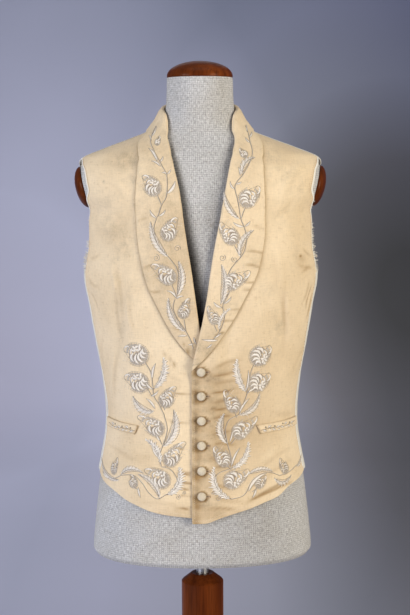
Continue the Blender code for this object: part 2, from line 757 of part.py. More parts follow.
def make_front(side, cloth):
    line = neckline(side)
    top = neck_height(line, SHOULDER_SEAM_ANGLE) - FRONT_TUCK
    outer, inner = [], []
    fade = ARMHOLE_FOOT - SIDE_HEM_HEIGHT
    for level in panel_levels(SIDE_HEM_HEIGHT, top):
        share = 1.0 - min((level - SIDE_HEM_HEIGHT) / fade, 1.0)
        outer_row, inner_row = [], []
        for k in range(PANEL_COLUMNS + 1):
            across = k / PANEL_COLUMNS
            rough = mix(angle_at(-LAP_EDGE, level), SIDE_SEAM_ANGLE, across)
            drop = front_hem(side, skin(rough, level).x) - SIDE_HEM_HEIGHT
            height = level + drop * share * share
            first = front_edge_angle(side, line, height)
            last = along(armhole_angles(height)[0], height, -SEAM_GAP / 2)
            angle = mix(first, last, across)
            outer_row.append(front_point(side, angle, height))
            inner_row.append(front_point(side, angle, height, -CLOTH_WALL))
        outer.append(outer_row)
        inner.append(inner_row)
    return wall(f"front_{side}", outer, inner, cloth)


def make_back(side, cotton):
    line = neckline(side)
    top = neck_height(line, SHOULDER_SEAM_ANGLE)
    fade = top - SHOULDER_TIP
    outer, inner = [], []
    for level in panel_levels(SIDE_HEM_HEIGHT, top):
        low_share = 1.0 - min((level - SIDE_HEM_HEIGHT) / BACK_HEM_FADE, 1.0)
        top_share = max((level - SHOULDER_TIP) / fade, 0.0)
        outer_row, inner_row = [], []
        for k in range(BACK_COLUMNS + 1):
            across = k / BACK_COLUMNS
            first = along(armhole_angles(level)[1], level, SEAM_GAP / 2)
            last = along(180.0, level, -SEAM_GAP / 2)
            angle = mix(first, last, across)
            dip = (BACK_HEM_HEIGHT - SIDE_HEM_HEIGHT) * ramp(across, 0.0, 1.0)
            rise = neck_height(line, angle) - top if angle > SHOULDER_SEAM_ANGLE else 0.0
            height = level + dip * low_share + rise * top_share
            outer_row.append(back_point(side, angle, height))
            inner_row.append(back_point(side, angle, height, -CLOTH_WALL))
        outer.append(outer_row)
        inner.append(inner_row)
    return wall(f"back_{side}", outer, inner, cotton)


def make_welt(side, cloth):
    """Narrow pocket welt made from the front's points, moved out."""
    inner_x, inner_top, outer_x, outer_top = WELTS[side]
    outer, inner = [], []
    for down in spread(WELT_HEIGHT, 0.0, WELT_ROWS):
        outer_row, inner_row = [], []
        for out in spread(0.0, 1.0, WELT_COLUMNS):
            x = mix(inner_x, outer_x, out) + WELT_SLANT * down / WELT_HEIGHT * (1.0 - out)
            height = mix(inner_top, outer_top, out) - down
            angle = angle_at(x, height)
            outer_row.append(front_point(side, angle, height, LAYER_GAP + WELT_WALL))
            inner_row.append(front_point(side, angle, height, LAYER_GAP))
        outer.append(outer_row)
        inner.append(inner_row)
    return wall(f"welt_{side}", outer, inner, cloth)


def make_buttons(silk):
    """Domed covered buttons down the lap, on the wearer's left front."""
    for k, (height, seat_lift) in enumerate(BUTTONS):
        profile = dome_profile(BUTTON_RADIUS, BUTTON_RISE - BUTTON_SKIRT, BUTTON_SKIRT, BUTTON_RINGS)
        button = turned(f"button_{k + 1}", profile, silk, BUTTON_STEPS)
        seat = front_point("left", 0.0, height, seat_lift)
        normal = skin_normal(0.0, height)
        button.matrix_world = Matrix.Translation(seat) @ normal.to_track_quat("Z", "Y").to_matrix().to_4x4()


# ---------------------------------------------------------------- the whole
def main():
    clear_scene()
    silk = make_material("cream_silk", (0.80, 0.68, 0.50), 0.55)
    cotton = make_material("white_cotton", (0.83, 0.82, 0.78), 0.85)
    linen = make_material("grey_linen", (0.62, 0.60, 0.56), 0.90)
    mahogany = make_material("mahogany", (0.13, 0.035, 0.018), 0.22)
    steel = make_material("steel", (0.62, 0.61, 0.59), 0.30, metallic=1.0)
    make_base(mahogany)
    make_column(mahogany)
    make_spindle(steel)
    make_torso(linen)
    make_caps(mahogany)
    for side in SIDES:
        make_front(side, silk)
        make_back(side, cotton)
        make_collar(side, silk)
        make_welt(side, silk)
    make_buttons(silk)


main()
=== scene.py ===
"""The looks of an embroidered waistcoat on a linen dress form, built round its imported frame.

Metres, +Z up, front facing -Y, the wearer's left on +X. Tables whose names end in _MM are in
millimetres on the cloth: outward from the centre line round the body, and up from the floor.
"""
import math

import bmesh
import bpy
import numpy as np
from mathutils import Matrix, Vector
from mathutils.bvhtree import BVHTree


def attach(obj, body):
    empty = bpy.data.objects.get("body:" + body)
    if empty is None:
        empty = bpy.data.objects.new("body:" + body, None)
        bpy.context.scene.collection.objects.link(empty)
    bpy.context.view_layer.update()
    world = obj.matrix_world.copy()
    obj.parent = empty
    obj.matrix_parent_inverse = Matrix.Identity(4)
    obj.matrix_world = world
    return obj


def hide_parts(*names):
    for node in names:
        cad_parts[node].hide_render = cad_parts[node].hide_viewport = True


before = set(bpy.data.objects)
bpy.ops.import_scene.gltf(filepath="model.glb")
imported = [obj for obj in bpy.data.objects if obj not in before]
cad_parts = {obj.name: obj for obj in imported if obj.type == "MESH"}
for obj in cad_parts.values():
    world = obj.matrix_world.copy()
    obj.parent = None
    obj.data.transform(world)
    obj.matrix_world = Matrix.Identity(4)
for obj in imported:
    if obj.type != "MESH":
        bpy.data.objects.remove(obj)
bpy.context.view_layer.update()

# ---------------------------------------------------------------- sizes, as in the part's source
FORM_SECTIONS = (
    # height, half_width, front_depth, back_depth, squareness
    (0.740, 0.1790, 0.1200, 0.1220, 2.20),
    (0.748, 0.1840, 0.1250, 0.1270, 2.20),
    (0.790, 0.1805, 0.1255, 0.1275, 2.20),
    (0.830, 0.1760, 0.1245, 0.1240, 2.20),
    (0.870, 0.1710, 0.1215, 0.1170, 2.20),
    (0.910, 0.1640, 0.1165, 0.1070, 2.20),
    (0.950, 0.1575, 0.1115, 0.0965, 2.20),
    (0.990, 0.1545, 0.1090, 0.0900, 2.25),
    (1.040, 0.1590, 0.1095, 0.0895, 2.30),
    (1.100, 0.1690, 0.1130, 0.0960, 2.35),
    (1.160, 0.1780, 0.1170, 0.1045, 2.40),
    (1.220, 0.1815, 0.1195, 0.1115, 2.40),
    (1.270, 0.1785, 0.1180, 0.1145, 2.40),
    (1.310, 0.1775, 0.1140, 0.1145, 2.35),
    (1.340, 0.1950, 0.1080, 0.1120, 2.30),
    (1.365, 0.2035, 0.1000, 0.1065, 2.20),
    (1.385, 0.1970, 0.0905, 0.0970, 2.10),
    (1.400, 0.1875, 0.0835, 0.0920, 2.00),
    (1.415, 0.1525, 0.0745, 0.0840, 2.00),
    (1.430, 0.1120, 0.0660, 0.0760, 2.00),
    (1.445, 0.0770, 0.0595, 0.0690, 2.00),
    (1.460, 0.0628, 0.0565, 0.0635, 2.05),
    (1.480, 0.0562, 0.0550, 0.0590, 2.10),
    (1.505, 0.0545, 0.0537, 0.0562, 2.10),
    (1.529, 0.0540, 0.0530, 0.0550, 2.10),
)
EASE_SECTIONS = (
    # height, side, front, back
    (0.740, 0.0080, 0.0090, 0.0060),
    (0.800, 0.0075, 0.0090, 0.0060),
    (0.880, 0.0050, 0.0080, 0.0050),
    (0.950, 0.0045, 0.0075, 0.0090),
    (1.000, 0.0065, 0.0075, 0.0120),
    (1.060, 0.0070, 0.0075, 0.0110),
    (1.150, 0.0075, 0.0070, 0.0070),
    (1.205, 0.0125, 0.0065, 0.0055),
    (1.225, 0.0110, 0.0060, 0.0050),
    (1.260, 0.0075, 0.0055, 0.0045),
    (1.320, 0.0085, 0.0045, 0.0040),
    (1.365, 0.0058, 0.0050, 0.0048),
    (1.385, 0.0095, 0.0070, 0.0078),
    (1.400, 0.0070, 0.0042, 0.0046),
    (1.430, 0.0066, 0.0044, 0.0042),
    (1.460, 0.0052, 0.0048, 0.0046),
    (1.480, 0.0040, 0.0040, 0.0040),
    (1.529, 0.0040, 0.0040, 0.0040),
)
ARM_PLATE_CENTRE = (0.1890, 0.0, 1.3525)
ARM_PLATE_TILT = math.radians(13.0)
ARM_CUT_REACH = 0.150
ARM_CAP_HALF_HEIGHT, ARM_CAP_HALF_DEPTH, ARM_CAP_RISE = 0.0345, 0.0420, 0.0165
NECK_TOP, NECK_CAP_RISE = 1.529, 0.0272
FORM_BOTTOM, SPINDLE_IN_FORM, SOCKET_RADIUS = 0.740, 0.100, 0.0114
SEAM_GAP, COLLAR_SEAM_GAP, LAYER_GAP = 0.0003, 0.0025, 0.0014
CLOTH_WALL, COLLAR_WALL, WELT_WALL = 0.0016, 0.0018, 0.0014
LAP_EDGE = 0.0150
SIDE_SEAM_ANGLE, SHOULDER_SEAM_ANGLE = 77.0, 82.0
FOLD_RETURN, FOLD_NOSE, FOLD_SLOT, NARROW_LAPEL, STAND_SHARE = 0.0050, 0.0012, 0.0030, 0.0120, 0.6
LAPEL_STEPS, COLLAR_SPAN = 3, 0.0030
LAP_FADE, LAP_OVER_LAPEL, LAP_TOP = (0.018, 0.046), (1.040, 1.058, 1.130, 1.160), (1.150, 1.200)
FRONT_HEM = (
    # from_centre, wearer's_left, wearer's_right
    (-0.0160, 0.8180, 0.8250),
    (0.0030, 0.8185, 0.8260),
    (0.0260, 0.8260, 0.8280),
    (0.0520, 0.8335, 0.8305),
    (0.0760, 0.8400, 0.8345),
    (0.1000, 0.8480, 0.8425),
    (0.1200, 0.8540, 0.8500),
    (0.1400, 0.8670, 0.8610),
    (0.1600, 0.8755, 0.8710),
    (0.1720, 0.8830, 0.8830),
)
SIDE_HEM_HEIGHT, BACK_HEM_HEIGHT, BACK_HEM_FADE, FRONT_TUCK = 0.8830, 0.8700, 0.2000, 0.0012
ARMHOLE_FOOT, SHOULDER_TIP = 1.2130, 1.4000
ARMHOLE = (
    # height, front_angle, back_angle
    (1.2130, 77.0, 77.0),
    (1.2180, 76.6, 88.0),
    (1.2300, 76.3, 101.0),
    (1.2600, 76.6, 113.0),
    (1.2950, 77.0, 118.0),
    (1.3260, 69.0, 119.0),
    (1.3520, 60.0, 117.0),
    (1.3780, 63.0, 109.0),
    (1.3930, 73.0, 95.0),
    (1.4000, 82.0, 82.0),
)
LAPELS = {
    "left": (
        # fold_from_centre, fold_height, edge_from_centre, edge_height
        (-0.0148, 1.0690, -0.0130, 1.0655),
        (-0.0085, 1.0960, 0.0160, 1.0960),
        (0.0005, 1.1335, 0.0438, 1.1333),
        (0.0095, 1.1800, 0.0710, 1.1820),
        (0.0160, 1.2240, 0.0900, 1.2220),
        (0.0225, 1.2620, 0.0970, 1.2530),
        (0.0295, 1.2960, 0.1008, 1.2860),
        (0.0385, 1.3440, 0.1010, 1.3282),
        (0.0465, 1.3850, 0.1000, 1.3642),
        (0.0545, 1.4200, 0.0989, 1.4000),
    ),
    "right": (
        (-0.0148, 1.0690, -0.0130, 1.0620),
        (-0.0075, 1.0960, 0.0163, 1.0868),
        (0.0020, 1.1335, 0.0420, 1.1180),
        (0.0085, 1.1800, 0.0668, 1.1634),
        (0.0145, 1.2240, 0.0845, 1.2029),
        (0.0205, 1.2620, 0.0945, 1.2440),
        (0.0255, 1.2960, 0.0990, 1.2830),
        (0.0318, 1.3440, 0.1014, 1.3314),
        (0.0412, 1.3850, 0.0993, 1.3680),
        (0.0487, 1.4200, 0.0965, 1.4000),
    ),
}
NECK_COLLAR = (
    # fold_angle, fold_height, edge_angle, edge_height, stand
    (42.5, 1.4500, 47.5, 1.4250, 0.009),
    (61.0, 1.4700, 68.0, 1.4400, 0.018),
    (88.0, 1.4805, 93.0, 1.4440, 0.025),
    (115.0, 1.4870, 118.0, 1.4455, 0.028),
    (145.0, 1.4910, 147.0, 1.4470, 0.028),
    (180.0, 1.4930, 180.0, 1.4480, 0.028),
)
FOLDS = {
    # from_x, from_height, to_x, to_height, half_width, rise
    "right": (
        (0.128, 1.210, 0.133, 1.090, 0.016, -0.0022),
        (0.133, 1.090, 0.150, 0.985, 0.015, -0.0018),
        (0.112, 1.190, 0.112, 1.020, 0.018, 0.0016),
        (0.060, 0.930, 0.130, 0.900, 0.014, 0.0012),
    ),
    "left": (
        (0.118, 1.150, 0.126, 1.070, 0.020, -0.0022),
        (0.150, 1.180, 0.158, 1.060, 0.014, 0.0015),
        (0.070, 0.900, 0.140, 0.925, 0.014, 0.0012),
        (0.030, 1.050, 0.080, 1.085, 0.014, -0.0012),
    ),
}
WELTS = {
    # side: inner_from_centre, inner_top, outer_from_centre, outer_top
    "left": (0.0885, 0.9712, 0.1545, 0.9742),
    "right": (0.1015, 0.9700, 0.1545, 0.9745),
}
WELT_HEIGHT, WELT_SLANT = 0.0140, 0.0060
BUTTON_RADIUS, BUTTON_RISE = 0.0075, 0.0060
BUTTONS = (
    # height, seat
    (1.0620, -0.0002),
    (1.0220, 0.0006),
    (0.9820, 0.0005),
    (0.9420, 0.0006),
    (0.9020, 0.0003),
    (0.8620, 0.0001),
)
SIDES = {"left": 1.0, "right": -1.0}

# ---------------------------------------------------------------- sizes that only the looks have
FRONT_GRID, BACK_GRID, TORSO_GRID = (92, 220), (60, 150), (132, 290)
COLLAR_STATIONS = 210
CREASES_MM = {
    # from_u, from_z, to_u, to_z, bow, half_width, rise
    "front_left": (
        (12, 1068, 70, 1084, 5, 3.4, 1.27),
        (12, 1056, 60, 1062, -3, 2.7, -1.02),
        (14, 1044, 78, 1050, 4, 3.6, 1.19),
        (10, 1028, 58, 1034, -3, 2.5, -1.02),
        (14, 1014, 66, 1020, 3, 3.2, 1.10),
        (10, 1003, 46, 1001, -2, 2.4, -0.85),
        (12, 988, 52, 992, 3, 2.9, 1.02),
        (12, 962, 50, 966, -3, 3.1, -0.94),
        (12, 948, 60, 944, 3, 2.9, 0.94),
        (10, 924, 44, 920, -2, 2.5, -0.85),
        (12, 908, 66, 914, 4, 3.1, 1.02),
        (10, 884, 52, 876, -3, 2.7, -0.85),
        (12, 870, 76, 856, -4, 3.4, 1.19),
        (6, 846, 60, 842, 3, 3.1, 1.02),
        (128, 1196, 138, 1080, 7, 6.0, -1.87),
        (146, 1206, 154, 1110, -6, 4.2, 1.36),
        (196, 1204, 178, 1160, 4, 3.4, 1.61),
        (206, 1196, 190, 1150, -4, 2.9, -1.44),
        (210, 1184, 196, 1134, 4, 3.1, 1.53),
        (208, 1216, 168, 1206, -5, 3.4, 1.61),
        (200, 1226, 160, 1232, 5, 3.7, -1.36),
        (204, 1236, 172, 1252, 4, 3.4, 1.36),
        (120, 1262, 130, 1180, 6, 6.8, 1.53),
        (206, 1090, 170, 1040, -8, 5.1, 1.36),
        (90, 905, 170, 935, 7, 5.1, 1.36),
        (66, 846, 172, 873, 5, 2.8, -1.50),
        (70, 853, 168, 884, 5, 3.0, 1.10),
        (96, 880, 176, 908, 5, 4.2, -1.19),
        (110, 1000, 190, 990, -5, 5.1, 1.02),
        (128, 1330, 168, 1392, 7, 6.0, 1.19),
        (112, 1300, 158, 1340, -5, 5.1, -1.02),
    ),
    "front_right": (
        (152, 1240, 140, 1120, -7, 5.5, 2.21),
        (138, 1206, 132, 1100, 5, 5.1, -1.87),
        (140, 1110, 166, 1000, 6, 5.1, 1.70),
        (120, 1190, 112, 1120, 4, 4.2, 1.02),
        (206, 1204, 172, 1190, 6, 3.6, 1.36),
        (208, 1186, 182, 1150, -5, 3.4, -1.19),
        (204, 1234, 168, 1244, 5, 3.9, 1.27),
        (176, 1130, 196, 1040, 6, 5.1, 1.19),
        (112, 1330, 150, 1372, 6, 6.0, 1.02),
        (130, 1290, 176, 1300, -6, 6.0, 1.02),
        (12, 902, 40, 903, 1, 1.8, 0.75),
        (12, 893, 46, 895, 2, 2.0, -0.85),
        (12, 884, 38, 885, 1, 1.8, 0.75),
        (12, 875, 44, 873, -1, 1.9, -0.75),
        (12, 865, 36, 866, 1, 1.8, 0.65),
        (12, 845, 48, 842, -2, 2.2, -0.75),
        (12, 1028, 70, 1022, 3, 2.2, 0.65),
        (14, 978, 60, 984, -3, 2.4, -0.65),
        (24, 1050, 74, 1062, 4, 5.1, 0.85),
        (20, 1000, 58, 1004, -3, 4.2, -0.68),
        (18, 850, 110, 852, 5, 4.2, 0.85),
        (60, 940, 150, 928, -6, 6.0, 1.02),
        (110, 912, 190, 930, 5, 4.2, -1.02),
    ),
    "back_left": (
        (250, 1230, 330, 1290, 9, 7.6, 2.04),
        (240, 1180, 320, 1150, -8, 6.8, -1.87),
        (232, 1120, 350, 1060, 10, 7.6, 2.21),
        (240, 1040, 360, 1020, -8, 6.0, -1.70),
        (236, 1000, 340, 985, 7, 6.0, 2.04),
        (228, 960, 330, 955, -5, 5.1, -1.53),
        (300, 1340, 350, 1250, 8, 7.6, 1.53),
        (290, 905, 330, 1000, 6, 7.6, 1.53),
        (234, 1086, 300, 1072, 3, 3.0, 1.30),
        (232, 1064, 318, 1046, 4, 3.4, -1.25),
        (236, 1018, 296, 1010, -3, 2.8, 1.20),
        (262, 1216, 318, 1166, 5, 3.6, 1.35),
        (330, 1066, 396, 1062, 3, 3.0, 1.15),
        (316, 1030, 380, 1036, -3, 3.2, -1.20),
        (350, 1330, 420, 1318, 4, 3.8, 1.10),
        (258, 930, 300, 968, 3, 3.4, 1.20),
    ),
    "back_right": (
        (236, 1078, 290, 1066, -3, 3.2, 1.25),
        (234, 1050, 322, 1036, 4, 3.0, -1.30),
        (240, 1010, 304, 998, 3, 3.0, 1.20),
        (266, 1206, 310, 1150, 5, 3.4, 1.30),
        (326, 1080, 402, 1072, -3, 3.2, 1.15),
        (342, 1040, 392, 1044, 2, 2.8, -1.10),
        (254, 944, 312, 976, -3, 3.6, 1.20),
        (246, 1240, 322, 1276, 7, 6.8, 1.87),
        (236, 1160, 330, 1140, -9, 7.6, -2.04),
        (234, 1100, 344, 1050, 8, 6.8, 2.04),
        (238, 1030, 352, 1008, -6, 6.0, -1.70),
        (230, 990, 348, 975, 7, 6.0, 1.87),
        (282, 1350, 346, 1290, 8, 6.8, 1.36),
        (306, 890, 322, 980, 5, 7.6, 1.36),
    ),
    "lapel_left": (
        (62, 1196, 94, 1190, 3, 2.5, 0.91),
        (58, 1214, 98, 1207, -3, 2.4, 0.78),
        (66, 1236, 102, 1226, 3, 2.7, 0.91),
        (70, 1256, 106, 1250, 2, 2.2, 0.72),
        (44, 1166, 80, 1168, -3, 2.4, 0.78),
        (30, 1146, 62, 1146, 2, 2.2, 0.72),
        (78, 1296, 108, 1286, 3, 3.1, 0.65),
        (20, 1124, 40, 1126, 2, 2.0, 0.65),
    ),
    "lapel_right": (
        (70, 1236, 98, 1226, 3, 3.1, 0.65),
        (60, 1196, 84, 1196, -3, 2.5, 0.59),
        (30, 1130, 48, 1134, 3, 2.4, 0.52),
        (80, 1310, 102, 1300, 3, 3.1, 0.59),
    ),
}
# Stains and soil, and two painted shadows at the foot of the wearer's-left lapel.
STAINS_AND_SHADOWS_MM = {
    # u, z, half_u, half_z, strength
    "front_right": (
        (118, 1396, 24, 13, 0.60),
        (104, 1372, 20, 16, 0.32),
        (140, 1290, 26, 22, 0.34),
        (126, 1262, 14, 20, 0.40),
        (138, 1232, 10, 26, 0.34),
        (152, 1330, 30, 16, 0.22),
        (116, 1180, 12, 26, 0.20),
        (132, 1130, 9, 40, 0.30),
        (108, 1325, 3, 3, 0.55),
        (92, 1272, 3, 2, 0.45),
        (158, 1362, 2, 3, 0.60),
        (12, 830, 40, 6, 0.28),
        (20, 880, 22, 5, 0.16),
    ),
    "front_left": (
        (136, 1372, 30, 14, 0.30),
        (118, 1400, 18, 10, 0.34),
        (168, 1348, 22, 18, 0.24),
        (134, 1310, 20, 22, 0.22),
        (130, 1128, 12, 26, 0.36),
        (160, 1250, 20, 26, 0.18),
        (110, 1190, 14, 10, 0.20),
        (8, 1052, 26, 9, 0.60),
        (10, 1036, 40, 6, 0.40),
        (6, 1016, 24, 9, 0.46),
        (12, 1000, 40, 7, 0.36),
        (6, 974, 20, 9, 0.44),
        (10, 958, 34, 6, 0.34),
        (6, 934, 20, 9, 0.46),
        (10, 918, 30, 5, 0.34),
        (6, 894, 22, 9, 0.50),
        (10, 878, 34, 6, 0.34),
        (6, 852, 24, 10, 0.46),
        (20, 834, 40, 5, 0.30),
        (-9, 950, 8, 130, 0.75),
        # painted shadow where the lapel's foot meets the lap, beside the top button
        (-8, 1062, 8, 14, 0.95),
        (20, 1000, 9, 60, 0.35),
        (24, 900, 12, 60, 0.30),
    ),
    "lapel_left": (
        # painted shadow at this lapel's foot, over the lap
        (-8, 1076, 9, 12, 0.90),
        (6, 1096, 26, 18, 0.55),
        (26, 1122, 22, 14, 0.34),
        (40, 1170, 30, 18, 0.22),
        (88, 1240, 20, 30, 0.16),
        (66, 1400, 10, 30, 0.24),
    ),
    "lapel_right": (
        (10, 1090, 26, 14, 0.50),
        (55, 1280, 60, 150, 0.30),
        (22, 1120, 20, 12, 0.30),
        (74, 1400, 16, 30, 0.26),
        (60, 1290, 26, 30, 0.14),
    ),
}

SHADES_MM = {
    # u, z, half_u, half_z, strength
    "front_left": (
        (82, 985, 64, 100, 0.27),
        (40, 950, 50, 130, 0.16),
        (150, 1180, 30, 60, 0.10),
        (171, 1242, 2.6, 1.7, 1.00),
        (174, 1238, 9.0, 7.0, 0.30),
        (40, 832, 70, 12, 0.22),
    ),
    "front_right": (
        (110, 900, 60, 30, 0.12),
        (43, 1073, 2.4, 4.6, 0.75),
        (49, 1081, 2.4, 5.0, 0.42),
        (58, 1089, 3.2, 4.0, 0.45),
        (33, 937, 3.2, 2.2, 0.80),
        (40, 834, 64, 12, 0.26),
        (104, 856, 40, 14, 0.14),
        (118, 1390, 40, 24, 0.16),
        (130, 1290, 40, 70, 0.10),
    ),
    "lapel_right": (
        (21, 1094, 2.4, 6.0, 0.62),
        (27, 1106, 2.0, 3.0, 0.50),
        (40, 1220, 70, 190, 0.24),
        (5, 1090, 22, 24, 0.22),
    ),
    "lapel_left": (
        (60, 1260, 60, 160, 0.06),
        (10, 1095, 30, 34, 0.30),
    ),
}


# ---------------------------------------------------------------- smooth tables and the body's skin
class Table:
    """A monotone smooth curve through every column of a table, read at places of the first."""

    def __init__(self, rows):
        data = np.array(rows, float)
        self.x, self.y = data[:, 0], data[:, 1:]
        span = np.diff(self.x)[:, None]
        slope = np.diff(self.y, axis=0) / span
        self.tangent = np.zeros_like(self.y)
        self.tangent[0], self.tangent[-1] = slope[0], slope[-1]
        before, after = slope[:-1], slope[1:]
        weight_b, weight_a = 2 * span[1:] + span[:-1], span[1:] + 2 * span[:-1]
        rising = before * after > 0
        safe_b, safe_a = np.where(rising, before, 1.0), np.where(rising, after, 1.0)
        mean = (weight_b + weight_a) / (weight_b / safe_b + weight_a / safe_a)
        self.tangent[1:-1] = np.where(rising, mean, 0.0)

    def __call__(self, place):
        place = np.clip(np.asarray(place, float), self.x[0], self.x[-1])
        i = np.clip(np.searchsorted(self.x, place, side="right") - 1, 0, len(self.x) - 2)
        span = (self.x[i + 1] - self.x[i])[..., None]
        t = (place - self.x[i])[..., None] / span
        low, high = self.y[i], self.y[i + 1]
        start = (1 + 2 * t) * (1 - t) ** 2 * low + t * (1 - t) ** 2 * span * self.tangent[i]
        end = t * t * (3 - 2 * t) * high + t * t * (t - 1) * span * self.tangent[i + 1]
        return np.moveaxis(start + end, -1, 0)


FORM, EASE, HEM, ARM = Table(FORM_SECTIONS), Table(EASE_SECTIONS), Table(FRONT_HEM), Table(ARMHOLE)


def ramp(value, low, high):
    t = np.clip((value - low) / (high - low), 0.0, 1.0)
    return t * t * (3 - 2 * t)


def bell(value, reach, middle=0.0):
    """1 at the middle, fading to nothing over the reach to either side."""
    return np.exp(-(((value - middle) / reach) ** 2))


def mix(a, b, t):
    return a + (b - a) * t


def unit(vectors):
    return vectors / np.maximum(np.linalg.norm(vectors, axis=-1, keepdims=True), 1e-12)


def skin(angle, z, dressed=True):
    """Points of the skin; the angle in degrees runs from centre front past +X at 90."""
    angle, z = np.broadcast_arrays(np.asarray(angle, float), np.asarray(z, float))
    half, front, back, square = FORM(z)
    if dressed:
        side, ahead, behind = EASE(z)
        half, front, back = half + side, front + ahead, back + behind
    s, c = np.sin(np.radians(angle)), np.cos(np.radians(angle))
    power = 2.0 / square
    x = half * np.sign(s) * np.abs(s) ** power
    y = -np.where(c >= 0, front, back) * np.sign(c) * np.abs(c) ** power
    return np.stack([x, y, z], -1)


def skin_normal(angle, z):
    turn, rise = 0.3, 0.0005
    across = skin(angle + turn, z) - skin(angle - turn, z)
    up = skin(angle, z + rise) - skin(angle, z - rise)
    return unit(np.cross(across, up))


def angle_at(x, z):
    half, _, _, square = FORM(z)
    share = np.clip(np.abs(x) / (half + EASE(z)[0]), 0, 1) ** (square / 2.0)
    return np.sign(x) * np.degrees(np.arcsin(share))


def along(angle, z, distance):
    chord = np.linalg.norm(skin(angle + 0.3, z) - skin(angle - 0.3, z), axis=-1)
    return angle + distance * 0.6 / chord


ARC_ANGLES, ARC_HEIGHTS = np.linspace(0, 180, 361), np.linspace(0.740, 1.529, 200)
_grid = skin(ARC_ANGLES[None, :], ARC_HEIGHTS[:, None])
ARC = np.concatenate([np.zeros((200, 1)), np.cumsum(np.linalg.norm(np.diff(_grid, axis=1), axis=-1), 1)], 1)


def arc_at(angle, z):
    """Distance round the skin from the centre front, signed as the angle."""
    a = np.clip(np.abs(angle) / 0.5, 0, 359.999)
    k = np.clip((z - ARC_HEIGHTS[0]) / (ARC_HEIGHTS[1] - ARC_HEIGHTS[0]), 0, 198.999)
    i, j = a.astype(int), k.astype(int)
    p, q = a - i, k - j
    low = ARC[j, i] * (1 - p) + ARC[j, i + 1] * p
    high = ARC[j + 1, i] * (1 - p) + ARC[j + 1, i + 1] * p
    return np.sign(angle) * (low * (1 - q) + high * q)


def angle_of(u, z):
    low, high = np.zeros_like(u), np.full_like(u, 180.0)
    for _ in range(24):
        middle = (low + high) / 2
        short = arc_at(middle, z) < np.abs(u)
        low, high = np.where(short, middle, low), np.where(short, high, middle)
    return np.sign(u) * (low + high) / 2


# ---------------------------------------------------------------- cloth surfaces
CREASE_FADE = (-0.05, 0.35)  # share of a crease's length over which its ends rise
CREASE_SLACK = 1.7  # how much wider a crease is on its lower side
# Strengths of the painted shade, with some soil, that fine and broad creases get, and its most.
FINE_CREASE, FINE_SHADE_AND_SOIL, BROAD_SHADE_AND_SOIL, MOST_SHADE_AND_SOIL = 3.3, 0.42, 0.28, 0.75


def crease_fields(part, u, z):
    """Soft troughs and ridges of one part at places in mm: a height in metres, and the painted shade, with
    some soil, in the troughs and under the ridges.
    """
    total, soil_and_shade = np.zeros(np.broadcast(u, z).shape), np.zeros(np.broadcast(u, z).shape)
    for u0, z0, u1, z1, bow, half_width, rise in CREASES_MM[part]:
        run = np.array((u1 - u0, z1 - z0), float)
        length = np.hypot(*run)
        run /= length
        t = ((u - u0) * run[0] + (z - z0) * run[1]) / length
        away = (z - z0) * run[0] - (u - u0) * run[1] - bow * 4 * t * (1 - t)
        wide = np.where(away > 0, half_width, CREASE_SLACK * half_width)
        ends = ramp(t, *CREASE_FADE) * ramp(1 - t, *CREASE_FADE)
        total += rise * 0.001 * bell(away, wide) * ends
        # Painted shade lies in a trough, and on a ridge's lower side.
        low = away if rise < 0 else away + 1.5 * half_width
        most = FINE_SHADE_AND_SOIL if half_width < FINE_CREASE else BROAD_SHADE_AND_SOIL
        soil_and_shade += abs(rise) * most * (3.2 / half_width) ** 2 * bell(low, 0.75 * half_width) * ends
    wave = np.sin(u * 0.071 + z * 0.023 + 1.1) * np.sin(z * 0.043 - u * 0.017)
    total += 0.00022 * wave + 0.00012 * np.sin(u * 0.19 - z * 0.11) * np.sin(z * 0.13 + 0.7)
    return total, np.clip(soil_and_shade, 0, MOST_SHADE_AND_SOIL)


def stain_and_shadow_at(part, u, z):
    total = np.zeros(np.broadcast(u, z).shape)
    for u0, z0, half_u, half_z, strength in STAINS_AND_SHADOWS_MM[part]:
        away = ((u - u0) / half_u) ** 2 + ((z - z0) / half_z) ** 2
        total = np.maximum(total, strength * np.exp(-away * 0.9)) + 0.15 * strength * np.exp(-away)
    return np.clip(total, 0, 1)


def soft_shade(part, u, z):
    total = np.zeros(np.broadcast(u, z).shape)
    for u0, z0, half_u, half_z, strength in SHADES_MM[part]:
        total += strength * np.exp(-(((u - u0) / half_u) ** 2) - ((z - z0) / half_z) ** 2)
    return np.clip(total, 0, 1)


def line_shade(u, z, line, reach, strength):
    """Painted shade beside a line of places, all in millimetres, fading over the reach."""
    flat = np.stack([u.ravel(), z.ravel()], -1)
    near = np.full(len(flat), np.inf)
    for point in line:
        near = np.minimum(near, np.hypot(flat[:, 0] - point[0], flat[:, 1] - point[1]))
    return (strength * bell(near, reach)).reshape(u.shape)


def lapel_line(side, share):
    """The lapel's fold at share 0 or its free edge at share 1, as places in millimetres."""
    table, last = collar_table(side)
    station = table(np.linspace(0, last - len(NECK_COLLAR) + 1.5, 220))
    angle, z = mix(station[0], station[2], share), mix(station[1], station[3], share)
    return np.stack([arc_at(angle, z) * 1000, z * 1000], -1)


def fold_rise(side, x, z):
    total = np.zeros_like(x)
    for x0, z0, x1, z1, half_width, rise in FOLDS[side]:
        run = np.array((x1 - x0, z1 - z0))
        t = np.clip(((x - x0) * run[0] + (z - z0) * run[1]) / (run @ run), 0, 1)
        away = np.hypot(x - x0 - run[0] * t, z - z0 - run[1] * t) / half_width
        total += rise * np.exp(-away * away)
    return total


def lap_lift(side, x, z):
    if side == "right":
        return np.zeros_like(x)
    near = 1.0 - ramp(x, *LAP_FADE)
    at_break = ramp(z, *LAP_OVER_LAPEL[:2]) * (1.0 - ramp(z, *LAP_OVER_LAPEL[2:]))
    over_front = (CLOTH_WALL + LAYER_GAP) * (1.0 - ramp(z, *LAP_TOP))
    return near * (over_front + (COLLAR_WALL + LAYER_GAP) * at_break)


